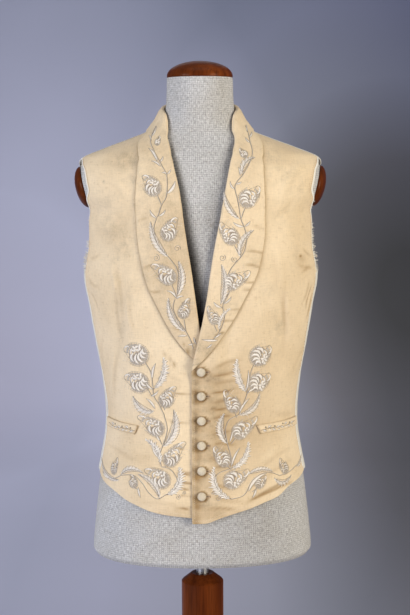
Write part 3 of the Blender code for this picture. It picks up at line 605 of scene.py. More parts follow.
def panel_point(kind, side, angle, z, lift=0.0, creased=True):
    """A place on a front's or a back's outer face, or at a lift from it."""
    base = skin(angle, z)
    x, height = base[..., 0], base[..., 2]
    rise = creased * crease_fields(f"{kind}_{side}", arc_at(angle, height) * 1000, height * 1000)[0]
    if kind == "front":
        rise = fold_rise(side, x, height) + lap_lift(side, x, height) + rise
    point = base + skin_normal(angle, z) * (rise + lift)[..., None]
    point[..., 0] *= SIDES[side]
    return point


def skin_at(side, angle, z, lift=0.0):
    """The same on whichever panel is there."""
    z, lift = z + np.zeros_like(angle), lift + np.zeros_like(angle)
    here = (np.abs(angle) <= SHOULDER_SEAM_ANGLE)[..., None]
    return np.where(here, *(panel_point(kind, side, angle, z, lift) for kind in ("front", "back")))


def collar_table(side):
    """Stations from the lapel's foot to the centre back: fold and edge places, and the stand's height."""
    given = Table([(float(k), *row) for k, row in enumerate(LAPELS[side])])
    place = np.arange((len(LAPELS[side]) - 1) * LAPEL_STEPS + 1) / LAPEL_STEPS
    fold_x, fold_z, edge_x, edge_z = given(place)
    fold, edge = angle_at(fold_x, fold_z), angle_at(edge_x, edge_z)
    rows = list(zip(place, fold, fold_z, edge, edge_z, FOLD_RETURN + 0 * place))
    rows += [(float(len(LAPELS[side]) + k), *row) for k, row in enumerate(NECK_COLLAR)]
    return Table(rows), rows[-1][0]


def collar_point(side, station, share, lift, own=0.0):
    fold_angle, fold_z, edge_angle, edge_z, _ = station
    angle, z = mix(fold_angle, edge_angle, share), mix(fold_z, edge_z, share)
    point = skin_at(side, angle, z, lift)
    fold, edge = skin_at(side, fold_angle, fold_z, lift), skin_at(side, edge_angle, edge_z, lift)
    normal = skin_normal(angle, z)
    normal[..., 0] *= SIDES[side]
    span = ((fold + (edge - fold) * share[..., None] - point) * normal).sum(-1)
    return point + normal * (np.clip(span, 0.0, COLLAR_SPAN) + own)[..., None]


def station_width(side, station):
    fold_angle, fold_z, edge_angle, edge_z, _ = station
    return np.linalg.norm(skin_at(side, fold_angle, fold_z) - skin_at(side, edge_angle, edge_z), axis=-1)


def neckline(side):
    """Where the panels' cloth ends under the collar, as (angles, heights)."""
    table, last = collar_table(side)
    station = table(np.linspace(0, last, 400))
    width = station_width(side, station)
    share = (np.minimum(station[4], STAND_SHARE * width) + COLLAR_SEAM_GAP) / width
    return mix(station[0], station[2], share), mix(station[1], station[3], share)


# ---------------------------------------------------------------- materials
def nodes_of(name):
    material = bpy.data.materials.new(name)
    material.use_nodes = True
    tree = material.node_tree
    shader = tree.nodes["Principled BSDF"]

    def add(kind, values=None, **settings):
        node = tree.nodes.new(kind)
        for key, value in settings.items():
            setattr(node, key, value)
        for key, value in (values or {}).items():
            if isinstance(value, bpy.types.NodeSocket):
                tree.links.new(value, node.inputs[key])
            else:
                node.inputs[key].default_value = value
        return node

    def join(value, socket):
        tree.links.new(value, shader.inputs[socket])

    return material, shader, add, join


def ramp_node(add, value, *stops):
    node = add("ShaderNodeValToRGB", {"Fac": value})
    while len(node.color_ramp.elements) < len(stops):
        node.color_ramp.elements.new(0.5)
    for element, (place, colour) in zip(node.color_ramp.elements, stops):
        element.position = place
        element.color = (*colour, 1.0) if len(colour) == 3 else colour
    return node.outputs["Color"]


def grey(value):
    return (value, value, value)


def maths(add, operation, a, b):
    return add("ShaderNodeMath", {0: a, 1: b}, operation=operation).outputs["Value"]


def blend_colours(add, kind, factor, a, b):
    node = add("ShaderNodeMix", data_type="RGBA", blend_type=kind)
    for key, value in ((0, factor), (6, a), (7, b)):
        if isinstance(value, bpy.types.NodeSocket):
            node.id_data.links.new(value, node.inputs[key])
        else:
            node.inputs[key].default_value = value if key == 0 else (*value, 1.0)
    return node.outputs[2]


def set_sockets(shader, values):
    for socket, value in values.items():
        shader.inputs[socket].default_value = value


def noise(add, place, size, detail=3.0, stretch=(1.0, 1.0, 1.0)):
    mapped = add("ShaderNodeMapping", {"Vector": place, "Scale": stretch}).outputs["Vector"]
    return add("ShaderNodeTexNoise", {"Vector": mapped, "Scale": size, "Detail": detail}).outputs["Fac"]


def tinted(add, base, factor, value, *stops):
    """The base multiplied by a ramp over a value, as strongly as the factor says."""
    return blend_colours(add, "MULTIPLY", factor, base, ramp_node(add, value, *stops))


def bump(add, join, height, strength, distance):
    node = add("ShaderNodeBump", {"Strength": strength, "Distance": distance, "Height": height})
    join(node.outputs["Normal"], "Normal")


def thread_waves(add, place, *pitches):
    """A sine along each axis of the cloth, with its pitch in metres."""
    parts = add("ShaderNodeSeparateXYZ", {"Vector": place}).outputs
    turns = [maths(add, "MULTIPLY", parts[axis], math.tau / pitch) for axis, pitch in zip("XY", pitches)]
    return [maths(add, "SINE", turn, 0.0) for turn in turns]


# Noise scales per metre, heights of slubs and crumples as shares of the weave's, and that height in metres.
WEFT_SCALE, WARP_SCALE, BLOTCH_SCALE, FADING_SCALE = 620.0, 560.0, 16.0, 5.0
FLECK_SCALE, SOIL_PATCH_SCALE, SOIL_SPECK_SCALE, CRUMPLE_SCALE = 210.0, 75.0, 330.0, 48.0
SLUB_RISE, CRUMPLE_RISE, WEAVE_RISE, CLOTH_SPECULAR = 1.6, 2.6, 0.0008, 0.30


def cloth_material(
    name, tone, tone_low, roughness, pitch, slub, sheen, relief=0.35, coarse=1.0,
    soil_and_shade=(0.36, 0.29, 0.20), dark=(0.42, 0.32, 0.20), slub_share=0.12, grid=0.0,
):
    """Woven cloth: thread relief, slubs, blotches, age, soil and a few painted shadows in patches and specks,
    and painted shade with some soil in creases and hollows.
    """
    material, shader, add, join = nodes_of(name)
    place = add("ShaderNodeUVMap", uv_map="cloth").outputs["UV"]
    solid = add("ShaderNodeTexCoord").outputs["Object"]
    weft = noise(add, place, WEFT_SCALE / coarse, 2.0, (slub_share, 1.0, 1.0))
    warp = noise(add, place, WARP_SCALE / coarse, 2.0, (1.0, slub_share, 1.0))
    blotch = noise(add, solid, BLOTCH_SCALE, 5.0)
    wide = noise(add, solid, FADING_SCALE, 3.0, (1.0, 1.0, 0.6))
    base = ramp_node(add, wide, (0.32, tone_low), (0.68, tone))
    streak = maths(add, "MULTIPLY", maths(add, "ADD", weft, warp), 0.5)
    base = tinted(add, base, 1.0, streak, (0.36, grey(1.0 - 0.55 * slub)), (0.62, grey(1.0 + 0.12 * slub)))
    if grid:
        lines = maths(add, "ADD", *thread_waves(add, place, pitch, pitch))
        woven = maths(add, "ADD", maths(add, "MULTIPLY", lines, 0.25), 0.5)
        base = tinted(add, base, 1.0, woven, (0.0, grey(1.0 - grid)), (1.0, grey(1.0)))
    base = tinted(add, base, 0.6, blotch, (0.30, (0.84, 0.81, 0.76)), (0.58, grey(1.0)))
    flecks = noise(add, solid, FLECK_SCALE, 4.0)
    base = tinted(add, base, 0.5, flecks, (0.28, (0.80, 0.74, 0.66)), (0.42, grey(1.0)))
    # Soil, and a few painted shadows, mixed in from the per-vertex stains, broken into patches and specks.
    stain_and_shadow = add("ShaderNodeAttribute", attribute_name="stain_and_shadow").outputs["Fac"]
    patches = ramp_node(add, noise(add, solid, SOIL_PATCH_SCALE, 7.0), (0.38, grey(0.06)), (0.60, grey(1.0)))
    specks = ramp_node(add, noise(add, solid, SOIL_SPECK_SCALE, 3.0), (0.40, grey(0.45)), (0.60, grey(1.0)))
    spread = maths(add, "MULTIPLY", maths(add, "MULTIPLY", stain_and_shadow, patches), specks)
    base = blend_colours(add, "MIX", spread, base, soil_and_shade)
    # Painted shade, with some soil: the per-vertex shade multiplies the colour towards dark.
    shade = add("ShaderNodeAttribute", attribute_name="shade").outputs["Fac"]
    join(blend_colours(add, "MULTIPLY", shade, base, dark), "Base Color")
    weave = maths(add, "MULTIPLY", maths(add, "MULTIPLY", *thread_waves(add, place, pitch, pitch)), 0.5)
    height = maths(add, "ADD", weave, maths(add, "MULTIPLY", streak, SLUB_RISE))
    crumple = maths(add, "MULTIPLY", noise(add, solid, CRUMPLE_SCALE, 4.0), CRUMPLE_RISE)
    bump(add, join, maths(add, "ADD", height, crumple), relief, WEAVE_RISE)
    join(ramp_node(add, blotch, (0.3, grey(roughness + 0.06)), (0.7, grey(roughness - 0.05))), "Roughness")
    # Painted shade also dims the sheen and the specular.
    lit = maths(add, "SUBTRACT", 1.0, shade)
    join(maths(add, "MULTIPLY", lit, sheen), "Sheen Weight")
    join(maths(add, "MULTIPLY", lit, CLOTH_SPECULAR), "Specular IOR Level")
    set_sockets(shader, {"Sheen Roughness": 0.45})
    return material


def thread_material(name, dark, middle, light, roughness):
    """Silk floss laid side by side; the tint attribute picks the thread's colour."""
    material, shader, add, join = nodes_of(name)
    tint = add("ShaderNodeAttribute", attribute_name="tint").outputs["Fac"]
    place = add("ShaderNodeUVMap", uv_map="cloth").outputs["UV"]
    strand = noise(add, place, 1500.0, 2.0, (1.0, 0.15, 1.0))
    base = ramp_node(add, tint, (0.0, dark), (0.5, middle), (1.0, light))
    join(tinted(add, base, 0.8, strand, (0.30, grey(0.70)), (0.60, grey(1.0))), "Base Color")
    bump(add, join, thread_waves(add, place, 0.00055)[0], 0.5, 0.0002)
    set_sockets(shader, {"Roughness": roughness, "Sheen Weight": 0.25, "Specular IOR Level": 0.7})
    return material


def wood_material(name):
    """Polished mahogany: warm red-brown, with fine pores and broad figure along the grain."""
    material, shader, add, join = nodes_of(name)
    solid = add("ShaderNodeTexCoord").outputs["Object"]
    figure = noise(add, solid, 42.0, 4.0, (1.0, 1.0, 0.10))
    pores = noise(add, solid, 420.0, 2.0, (1.0, 1.0, 0.05))
    dark, middle, light = (0.060, 0.012, 0.003), (0.120, 0.026, 0.005), (0.200, 0.048, 0.009)
    base = ramp_node(add, figure, (0.30, dark), (0.55, middle), (0.75, light))
    join(tinted(add, base, 0.5, pores, (0.35, grey(0.45)), (0.50, grey(1.0))), "Base Color")
    bump(add, join, pores, 0.06, 0.0003)
    polish = {"Roughness": 0.36, "Specular IOR Level": 0.08, "Coat Weight": 0.05, "Coat Roughness": 0.14}
    set_sockets(shader, {**polish, "Specular Tint": (1.0, 0.62, 0.40, 1.0)})
    return material


def steel_material(name):
    """Steel turned on a lathe, with fine rings round it."""
    material, shader, add, join = nodes_of(name)
    solid = add("ShaderNodeTexCoord").outputs["Object"]
    rings = noise(add, solid, 260.0, 3.0, (0.2, 0.2, 6.0))
    join(ramp_node(add, rings, (0.3, grey(0.42)), (0.7, grey(0.66))), "Base Color")
    join(ramp_node(add, rings, (0.3, grey(0.38)), (0.7, grey(0.24))), "Roughness")
    bump(add, join, rings, 0.15, 0.0002)
    set_sockets(shader, {"Metallic": 1.0})
    return material


CREAM = cloth_material("cream_silk", (0.86, 0.70, 0.49), (0.82, 0.65, 0.435), 0.62, 0.0007, 0.16, 0.10)
COTTON = cloth_material("white_cotton", (0.80, 0.78, 0.72), (0.76, 0.73, 0.66), 0.82, 0.0008, 0.20, 0.05)
COVER = cloth_material(
    "button_silk", (1.0, 0.90, 0.74), (0.95, 0.82, 0.62), 0.50, 0.0009, 0.12, 0.10, 0.9, 0.8
)
# The linen's dark is near black, for the painted shade deep in the neck.
LINEN = cloth_material(
    "grey_linen", (0.685, 0.675, 0.672), (0.646, 0.635, 0.632), 0.88, 0.0034, 0.85, 0.05, 0.5, 0.72,
    soil_and_shade=(0.2, 0.2, 0.2), dark=(0.045, 0.04, 0.04), slub_share=0.2, grid=0.30,
)
SILK = thread_material("pale_floss", (0.24, 0.175, 0.115), (0.56, 0.485, 0.405), (0.95, 0.88, 0.80), 0.42)
THREAD = thread_material("sewing_thread", (0.05, 0.035, 0.02), (0.50, 0.26, 0.09), (0.93, 0.90, 0.83), 0.60)
WOOD = wood_material("mahogany")
STEEL = steel_material("steel")


# ---------------------------------------------------------------- meshes
def set_values(mesh, values):
    for key, value in values.items():
        attribute = mesh.attributes.new(key, "FLOAT", "POINT")
        attribute.data.foreach_set("value", np.asarray(value, np.float32).ravel())


def set_uv(mesh, uv):
    """Gives each corner its vertex's place on the cloth."""
    layer = mesh.uv_layers.get("cloth") or mesh.uv_layers.new(name="cloth")
    index = np.empty(len(mesh.loops), np.int32)
    mesh.loops.foreach_get("vertex_index", index)
    layer.data.foreach_set("uv", np.asarray(uv, np.float32)[index].ravel())


def remesh(mesh, change):
    """Runs a bmesh change on a mesh and turns its faces outward again."""
    work = bmesh.new()
    work.from_mesh(mesh)
    change(work)
    bmesh.ops.recalc_face_normals(work, faces=work.faces)
    work.to_mesh(mesh)
    work.free()
    mesh.shade_smooth()


def make_object(name, points, faces, material, uv=None, values=None, smooth_angle=50):
    mesh = bpy.data.meshes.new(name)
    mesh.from_pydata(np.asarray(points, float).tolist(), [], faces)
    if uv is not None:
        set_uv(mesh, uv)
    set_values(mesh, values or {})
    mesh.validate()
    remesh(mesh, lambda work: None)
    mesh.set_sharp_from_angle(angle=math.radians(smooth_angle))
    mesh.materials.append(material)
    obj = bpy.data.objects.new(name, mesh)
    bpy.context.scene.collection.objects.link(obj)
    return obj


def grid_faces(rows, columns, start=0, flip=False):
    r, c = np.meshgrid(np.arange(rows - 1), np.arange(columns - 1), indexing="ij")
    a = start + r * columns + c
    quads = np.stack([a, a + 1, a + columns + 1, a + columns], -1).reshape(-1, 4)
    return (quads[:, ::-1] if flip else quads).tolist()


def shell(name, outer, inner, uv, material, values, bulge=0.35):
    """Closed thin wall between two grids, with a rounded edge all round."""
    rows, columns = outer.shape[:2]
    size = rows * columns
    faces = grid_faces(rows, columns) + grid_faces(rows, columns, size, True)
    rim = [(0, c) for c in range(columns)] + [(r, columns - 1) for r in range(1, rows)]
    rim += [(rows - 1, c) for c in range(columns - 2, -1, -1)] + [(r, 0) for r in range(rows - 2, 0, -1)]
    within = [(min(max(r, 1), rows - 2), min(max(c, 1), columns - 2)) for r, c in rim]
    a, b = np.array(rim), np.array(within)
    edge_out, edge_in = outer[a[:, 0], a[:, 1]], inner[a[:, 0], a[:, 1]]
    away = unit(edge_out - outer[b[:, 0], b[:, 1]])
    thick = np.linalg.norm(edge_out - edge_in, axis=-1, keepdims=True)
    edge = (edge_out + edge_in) / 2 + away * thick * bulge
    points = np.concatenate([outer.reshape(-1, 3), inner.reshape(-1, 3), edge])
    ids = (a[:, 0] * columns + a[:, 1]).tolist()
    for k, here in enumerate(ids):
        n = (k + 1) % len(ids)
        middle, following = 2 * size + k, 2 * size + n
        faces += [(here, middle, following, ids[n]), (middle, here + size, ids[n] + size, following)]

    def spread(field):
        return np.concatenate([field, field, field[ids]])

    table = {key: spread(value.reshape(-1)) for key, value in values.items()}
    return make_object(name, points, faces, material, spread(uv.reshape(-1, 2)), table)


def loft(name, rings, material, uv, values=None, smooth_angle=50):
    """Closed solid through rings of points, with a flat cap at each end."""
    count, size = rings.shape[:2]
    r, k = np.meshgrid(np.arange(count - 1), np.arange(size), indexing="ij")
    a, n = r * size + k, r * size + (k + 1) % size
    faces = np.stack([a, n, n + size, a + size], -1).reshape(-1, 4).tolist()
    faces += [list(range(size))[::-1], list(range((count - 1) * size, count * size))]
    return make_object(name, rings.reshape(-1, 3), faces, material, uv.reshape(-1, 2), values, smooth_angle)


def turned(name, profile, material, steps=72, smooth_angle=35):
    """Turned solid from a profile of (radius, height) that starts and ends on its axis."""
    turn = np.linspace(0, math.tau, steps, endpoint=False)
    inner = profile[1:-1]
    points = [(r * math.cos(a), r * math.sin(a), z) for r, z in inner for a in turn]
    points += [(0, 0, profile[0][1]), (0, 0, profile[-1][1])]
    low, high, last = len(points) - 2, len(points) - 1, (len(inner) - 1) * steps
    ring = [(k, (k + 1) % steps) for k in range(steps)]
    starts = range(0, last, steps)
    faces = [(s + k, s + n, s + steps + n, s + steps + k) for s in starts for k, n in ring]
    faces += [face for k, n in ring for face in ((low, n, k), (high, last + k, last + n))]
    uv = [(math.atan2(y, x) * 0.03, z) for x, y, z in points]
    return make_object(name, points, faces, material, uv, None, smooth_angle)


def ride(obj, *nodes, body="bust", slot=None):
    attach(obj, body)
    if nodes:
        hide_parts(*nodes)
    return obj


# ---------------------------------------------------------------- the dress form
NECK_SHADE = Table((
    # height, right_reach, right_strength, left_reach, left_strength
    (1.180, 24.0, 1.00, 12.0, 0.20),
    (1.217, 19.0, 0.99, 12.0, 0.10),
    (1.249, 17.0, 0.96, 20.0, 0.30),
    (1.281, 14.0, 0.86, 24.0, 0.38),
    (1.313, 12.0, 0.82, 26.0, 0.40),
    (1.345, 9.5, 0.80, 24.0, 0.36),
    (1.378, 6.0, 0.82, 14.0, 0.36),
    (1.410, 3.6, 0.80, 10.0, 0.50),
    (1.435, 2.0, 0.40, 6.0, 0.20),
    (1.470, 1.0, 0.00, 3.0, 0.00),
))


LAP_FOOT_SHADE = 0.97  # on the linen behind the lap, where no light comes
HIP_SHADE = (90, 90, 0.17)  # place round the body and reach in mm, and strength


def neck_shade(angles, heights):
    """Deep shade on the linen beside the lapels' folds, more beside the wearer's right."""
    angle = angles[None, :] + 0 * heights
    u, z = arc_at(angle, heights) * 1000, heights * 1000
    total = LAP_FOOT_SHADE * (1 - ramp(heights, 1.150, 1.185)) * (heights > 1.0) * (np.abs(angle) < 60)
    right_reach, right_strength, left_reach, left_strength = NECK_SHADE(heights + 0 * angle)
    for sign, reach, strength in ((-1, right_reach, right_strength), (1, left_reach, left_strength)):
        line = lapel_line("right" if sign < 0 else "left", 0.0)[::3] * (sign, 1)
        away = -np.log(np.maximum(line_shade(u, z, line, 40.0, 1.0), 1e-30))
        total = np.maximum(total, strength * np.exp(-away * (40.0 / reach) ** 2))
    place, reach, strength = HIP_SHADE
    hip = strength * bell(u, reach, place) * (1 - ramp(heights, 0.84, 0.90))
    return np.maximum(total * (np.abs(angle) < 75), hip).ravel()


def cut_arm_plate(work, sign):
    """Cut the shoulder flat down to a ledge below the armhole, as in the CAD, and close it with two faces."""
    centre = Vector((ARM_PLATE_CENTRE[0] * sign, ARM_PLATE_CENTRE[1], ARM_PLATE_CENTRE[2]))
    out = Vector((math.cos(ARM_PLATE_TILT) * sign, 0, -math.sin(ARM_PLATE_TILT)))
    up = Vector((math.sin(ARM_PLATE_TILT) * sign, 0, math.cos(ARM_PLATE_TILT)))
    foot = centre - up * ARM_CUT_REACH

    def near(place):
        return place.x * sign > 0.05 and 1.10 < place.z < 1.45

    def above(place):
        return near(place) and (place - foot).dot(up) > -1e-5

    for test, point, normal in ((near, foot, up), (above, centre, out)):
        chosen = {v: None for v in work.verts if test(v.co)}
        region = [*chosen, *(g for g in (*work.edges, *work.faces) if all(v in chosen for v in g.verts))]
        bmesh.ops.bisect_plane(work, geom=region, dist=1e-6, plane_co=point, plane_no=normal)
    middles = [(f, f.calc_center_median()) for f in work.faces]
    gone = [f for f, m in middles if above(m) and (m - centre).dot(out) > 0]
    bmesh.ops.delete(work, geom=gone, context="FACES")
    rim = [e for e in work.edges if e.is_boundary]
    off = {v: (abs((v.co - foot).dot(up)), abs((v.co - centre).dot(out))) for e in rim for v in e.verts}
    corners = [v for v, (from_ledge, from_plate) in off.items() if from_ledge < 2e-5 and from_plate < 2e-5]
    bmesh.ops.edgenet_fill(work, edges=rim + [work.edges.new(corners)])


BACK_SEAM_DEPTH, BACK_SEAM_RIDGE, BACK_SEAM_TOP = 0.0007, 0.00035, 1.46
BACK_SEAM_STEPS = (-0.9, -0.5, -0.25, 0.0, 0.25, 0.5, 0.9)  # degrees beside the form's centre-back seam
FINE_NECK = 42  # degrees from centre front that the waistcoat's neck can show, with finer columns


def make_torso():
    """The linen form, with its sewn centre back, its flat arm plates and the spindle's socket."""
    columns, rows = TORSO_GRID
    angles = np.linspace(0, 360, columns, endpoint=False)
    covered = (angles > FINE_NECK) & (angles < 360 - FINE_NECK) & (np.abs(angles - 180) > 1.2)
    ahead = (np.arange(0, 2 * FINE_NECK, 0.8) - (FINE_NECK - 0.4)) % 360
    angles = np.sort(np.concatenate([ahead, angles[covered], np.array(BACK_SEAM_STEPS) + 180.0]))
    heights = [np.linspace(FORM_BOTTOM, NECK_TOP, rows), [0.742, 0.745, 0.748, NECK_TOP - 0.001]]
    heights = np.unique(np.concatenate(heights))
    signed = np.where(angles > 180, angles - 360, angles)
    rings = skin(signed[None, :], heights[:, None], False)
    away = (np.abs(signed) - 180.0) * 0.0024
    seam = -BACK_SEAM_DEPTH * bell(away, 0.0009) + BACK_SEAM_RIDGE * bell(np.abs(away), 0.0016, 0.0026)
    seam = seam[None, :, None] * (heights[:, None, None] < BACK_SEAM_TOP)
    rings = rings + skin_normal(signed[None, :], heights[:, None]) * seam
    rings[-1] = rings[-1] * (0.99, 0.99, 1)
    turn = np.radians(signed)
    socket = np.stack([np.sin(turn), -np.cos(turn), 0 * turn], -1) * SOCKET_RADIUS + (0, 0, FORM_BOTTOM)
    socket_top = socket + (0, 0, SPINDLE_IN_FORM + 0.0004)
    floor = [mix(socket, rings[0], t) for t in (0.25, 0.5, 0.8, 0.96)]
    rings = np.concatenate([[socket_top, socket], floor, rings])
    around = arc_at(signed[None, :] + 0 * rings[..., 2], np.clip(rings[..., 2], FORM_BOTTOM, NECK_TOP))
    shade = neck_shade(signed, rings[..., 2])
    values = {"stain_and_shadow": np.zeros(shade.shape), "shade": shade}
    torso = loft("form_linen", rings, LINEN, np.stack([around, rings[..., 2]], -1), values)
    remesh(torso.data, lambda work: [cut_arm_plate(work, sign) for sign in SIDES.values()])
    torso.data.set_sharp_from_angle(angle=math.radians(38))
    return ride(torso, "torso", slot="grey_linen")


def dome(radius, rise, skirt, rings=14):
    turns = np.radians(np.linspace(0, 90, rings + 1))
    profile = [(radius * math.sin(t), skirt + (rise - skirt) * math.cos(t)) for t in turns]
    return profile + [(radius, skirt * 0.5), (radius - 0.0006, 0.0), (0.0, 0.0)]


def make_caps():
    half, ahead, behind, _ = (float(v) for v in FORM(NECK_TOP))
    cap = turned("neck_cap_wood", dome(half, NECK_CAP_RISE, 0.0026), WOOD, 96)
    place = Matrix.Translation((0, (behind - ahead) / 2, NECK_TOP + SEAM_GAP))
    cap.data.transform(place @ Matrix.Diagonal((1, (ahead + behind) / 2 / half, 1, 1)))
    ride(cap, "neck_cap", slot="mahogany")
    deep = Vector((0.0, 1.0, 0.0))
    stretch = Matrix.Diagonal((ARM_CAP_HALF_DEPTH / ARM_CAP_HALF_HEIGHT, 1.0, 1.0))
    for side, sign in SIDES.items():
        cap = turned(f"arm_cap_wood_{side}", dome(ARM_CAP_HALF_HEIGHT, ARM_CAP_RISE, 0.0014), WOOD, 96)
        out = Vector((sign * math.cos(ARM_PLATE_TILT), 0.0, -math.sin(ARM_PLATE_TILT)))
        axes = Matrix((deep, out.cross(deep), out)).transposed()
        centre = Vector((ARM_PLATE_CENTRE[0] * sign, 0.0, ARM_PLATE_CENTRE[2])) + out * SEAM_GAP
        cap.data.transform(Matrix.Translation(centre) @ (axes @ stretch).to_4x4())
        ride(cap, f"arm_cap_{side}", slot="mahogany")


# ---------------------------------------------------------------- fronts, backs, collar and welts
def armhole(z):
    front, back = ARM(z)
    low, high = z <= ARMHOLE_FOOT, z >= SHOULDER_TIP
    front = np.where(low, SIDE_SEAM_ANGLE, np.where(high, SHOULDER_SEAM_ANGLE, front))
    back = np.where(low, SIDE_SEAM_ANGLE, np.where(high, SHOULDER_SEAM_ANGLE, back))
    return front, back


def front_hem(side, x):
    left, right = HEM(x)
    return left if side == "left" else right


LAPEL_EDGE_SHADE = (2.4, 0.75)  # reach in mm, strength
BUTTON_SHADE = (0.8, -1.2, 8.2, 11.0, 0.95)  # off the button in mm, inner and outer reach, strength
# Painted shade with some soil along the lap's buttoned strip, and a little more further out and higher up.
LAP_SHADE_AND_SOIL = ((0.84, 8.5, -9.0), (0.30, 24.0, 16.0))  # strength, reach and middle in mm from the centre line
LAP_SHADE_AND_SOIL_ABOVE = (0.12, 30.0, 40.0)


def shaded_soiled_lap(u, z):
    """Painted shade and soil down the buttoned edge of the top front and round its buttons, at places in
    metres.
    """
    u_mm, z_mm = u * 1000, z * 1000
    uneven = 0.75 + 0.25 * np.sin(z * 150.0 + u * 90.0) + 0.12 * np.sin(z * 410.0 + 1.0)
    strip = sum(strength * bell(u_mm, reach, middle) for strength, reach, middle in LAP_SHADE_AND_SOIL)
    strength, reach, middle = LAP_SHADE_AND_SOIL_ABOVE
    strip = strip * uneven + strength * bell(u_mm, reach, middle) * ramp(z, 0.86, 0.95)
    strip = strip * (1 - ramp(z, 1.058, 1.085))
    off_u, off_z, inner, outer, strength = BUTTON_SHADE
    rings = [np.hypot(u_mm - off_u, z_mm - height * 1000 - off_z) for height, _ in BUTTONS]
    return np.clip(strip, 0, 1), strength * (1 - ramp(np.minimum.reduce(rings), inner, outer))


def make_front(side):
    columns, rows = FRONT_GRID
    angles, heights = neckline(side)
    top = float(np.interp(SHOULDER_SEAM_ANGLE, angles, heights)) - FRONT_TUCK
    ahead = angles <= SHOULDER_SEAM_ANGLE
    level, across = np.linspace(SIDE_HEM_HEIGHT, top, rows)[:, None], np.linspace(0, 1, columns)[None, :]
    share = 1 - np.clip((level - SIDE_HEM_HEIGHT) / (ARMHOLE_FOOT - SIDE_HEM_HEIGHT), 0, 1)
    rough = mix(angle_at(-LAP_EDGE, level), SIDE_SEAM_ANGLE, across)
    drop = front_hem(side, skin(rough, level)[..., 0]) - SIDE_HEM_HEIGHT
    z = level + drop * share * share
    first = np.interp(z, heights[ahead], angles[ahead])
    first = np.where(z <= heights[0], angle_at(-LAP_EDGE, z), first)
    angle = mix(first, along(armhole(z)[0], z, -SEAM_GAP / 2), across)
    u = arc_at(angle, z)
    part, u_mm, z_mm = "front_" + side, u * 1000, z * 1000
    shade = np.clip(crease_fields(part, u_mm, z_mm)[1] + soft_shade(part, u_mm, z_mm), 0, 1)
    shade = np.maximum(shade, line_shade(u_mm, z_mm, lapel_line(side, 1.0), *LAPEL_EDGE_SHADE))
    if side == "left":
        strip, rings = shaded_soiled_lap(u, z)
        shade = np.maximum(1 - (1 - shade) * (1 - strip), rings)
    outer, inner = (panel_point("front", side, angle, z, lift) for lift in (0.0, -CLOTH_WALL))
    values = {"stain_and_shadow": stain_and_shadow_at(part, u_mm, z_mm), "shade": shade}
    front = shell(f"silk_front_{side}", outer, inner, np.stack([u, z], -1), CREAM, values)
    return ride(front, f"front_{side}", slot="cream_silk")


def make_back(side):
    columns, rows = BACK_GRID
    angles, heights = neckline(side)
    top = float(np.interp(SHOULDER_SEAM_ANGLE, angles, heights))
    level, across = np.linspace(SIDE_HEM_HEIGHT, top, rows)[:, None], np.linspace(0, 1, columns)[None, :]
    low = 1 - np.clip((level - SIDE_HEM_HEIGHT) / BACK_HEM_FADE, 0, 1)
    high = np.clip((level - SHOULDER_TIP) / (top - SHOULDER_TIP), 0, 1)
    first = along(armhole(level)[1], level, SEAM_GAP / 2)
    angle = mix(first, along(180.0 + 0 * level, level, -SEAM_GAP / 2), across)
    dip = (BACK_HEM_HEIGHT - SIDE_HEM_HEIGHT) * ramp(across, 0.0, 1.0)
    rise = np.where(angle > SHOULDER_SEAM_ANGLE, np.interp(angle, angles, heights) - top, 0.0)
    z = level + dip * low + rise * high
    u = arc_at(angle, z)
    stain_and_shadow = 0.10 * bell(z, 0.03, 1.215) * (across < 0.3)
    seam = 0.45 * bell(across, 0.006, 1.0)
    shade = np.clip(0.7 * crease_fields("back_" + side, u * 1000, z * 1000)[1] + seam, 0, 0.7)
    outer, inner = (panel_point("back", side, angle, z, lift) for lift in (0.0, -CLOTH_WALL))
    values = {"stain_and_shadow": stain_and_shadow, "shade": shade}
    back = shell(f"cotton_back_{side}", outer, inner, np.stack([u, z], -1), COTTON, values)
    return ride(back, f"back_{side}", slot="white_cotton")


def collar_profile(width, stand_height):
    """Shares of the way from fold to edge, and lifts from the skin, once round the collar at each station."""
    shrink = np.minimum(1.0, width / NARROW_LAPEL)
    stand = np.minimum(stand_height, STAND_SHARE * width) / width
    nose, slot = FOLD_NOSE * shrink / width, np.minimum(FOLD_SLOT * shrink / width, stand * STAND_SHARE)
    top, under, inside = LAYER_GAP + COLLAR_WALL, LAYER_GAP, -COLLAR_WALL
    steps = [(mix(nose, 1.0, t), top) for t in np.linspace(0, 1, 22)]
    steps += [(1.0 + 0.0006 * shrink / width, (top + under) / 2)]
    steps += [(mix(slot, 1.0, t), under) for t in np.linspace(1, 0, 12)]
    steps += [(mix(slot, stand, t), 0.0) for t in np.linspace(0, 1, 5)]
    steps += [(mix(nose, stand, t), inside) for t in np.linspace(1, 0, 5)]
    for turn in map(math.radians, (-60, -30, 0, 30, 60)):
        steps.append((nose * (1 - math.cos(turn)), (top + inside) / 2 + (top - inside) / 2 * math.sin(turn)))
    share = np.concatenate([s + 0 * width for s, _ in steps], 1)
    return share, np.array([lift for _, lift in steps])[None, :] + 0 * share


LAPEL_FRONT = 60  # degrees from centre front to which the collar is creased and given painted shade and soil
COLLAR_TROUGH, COLLAR_BELLY = -0.0002, 0.0008


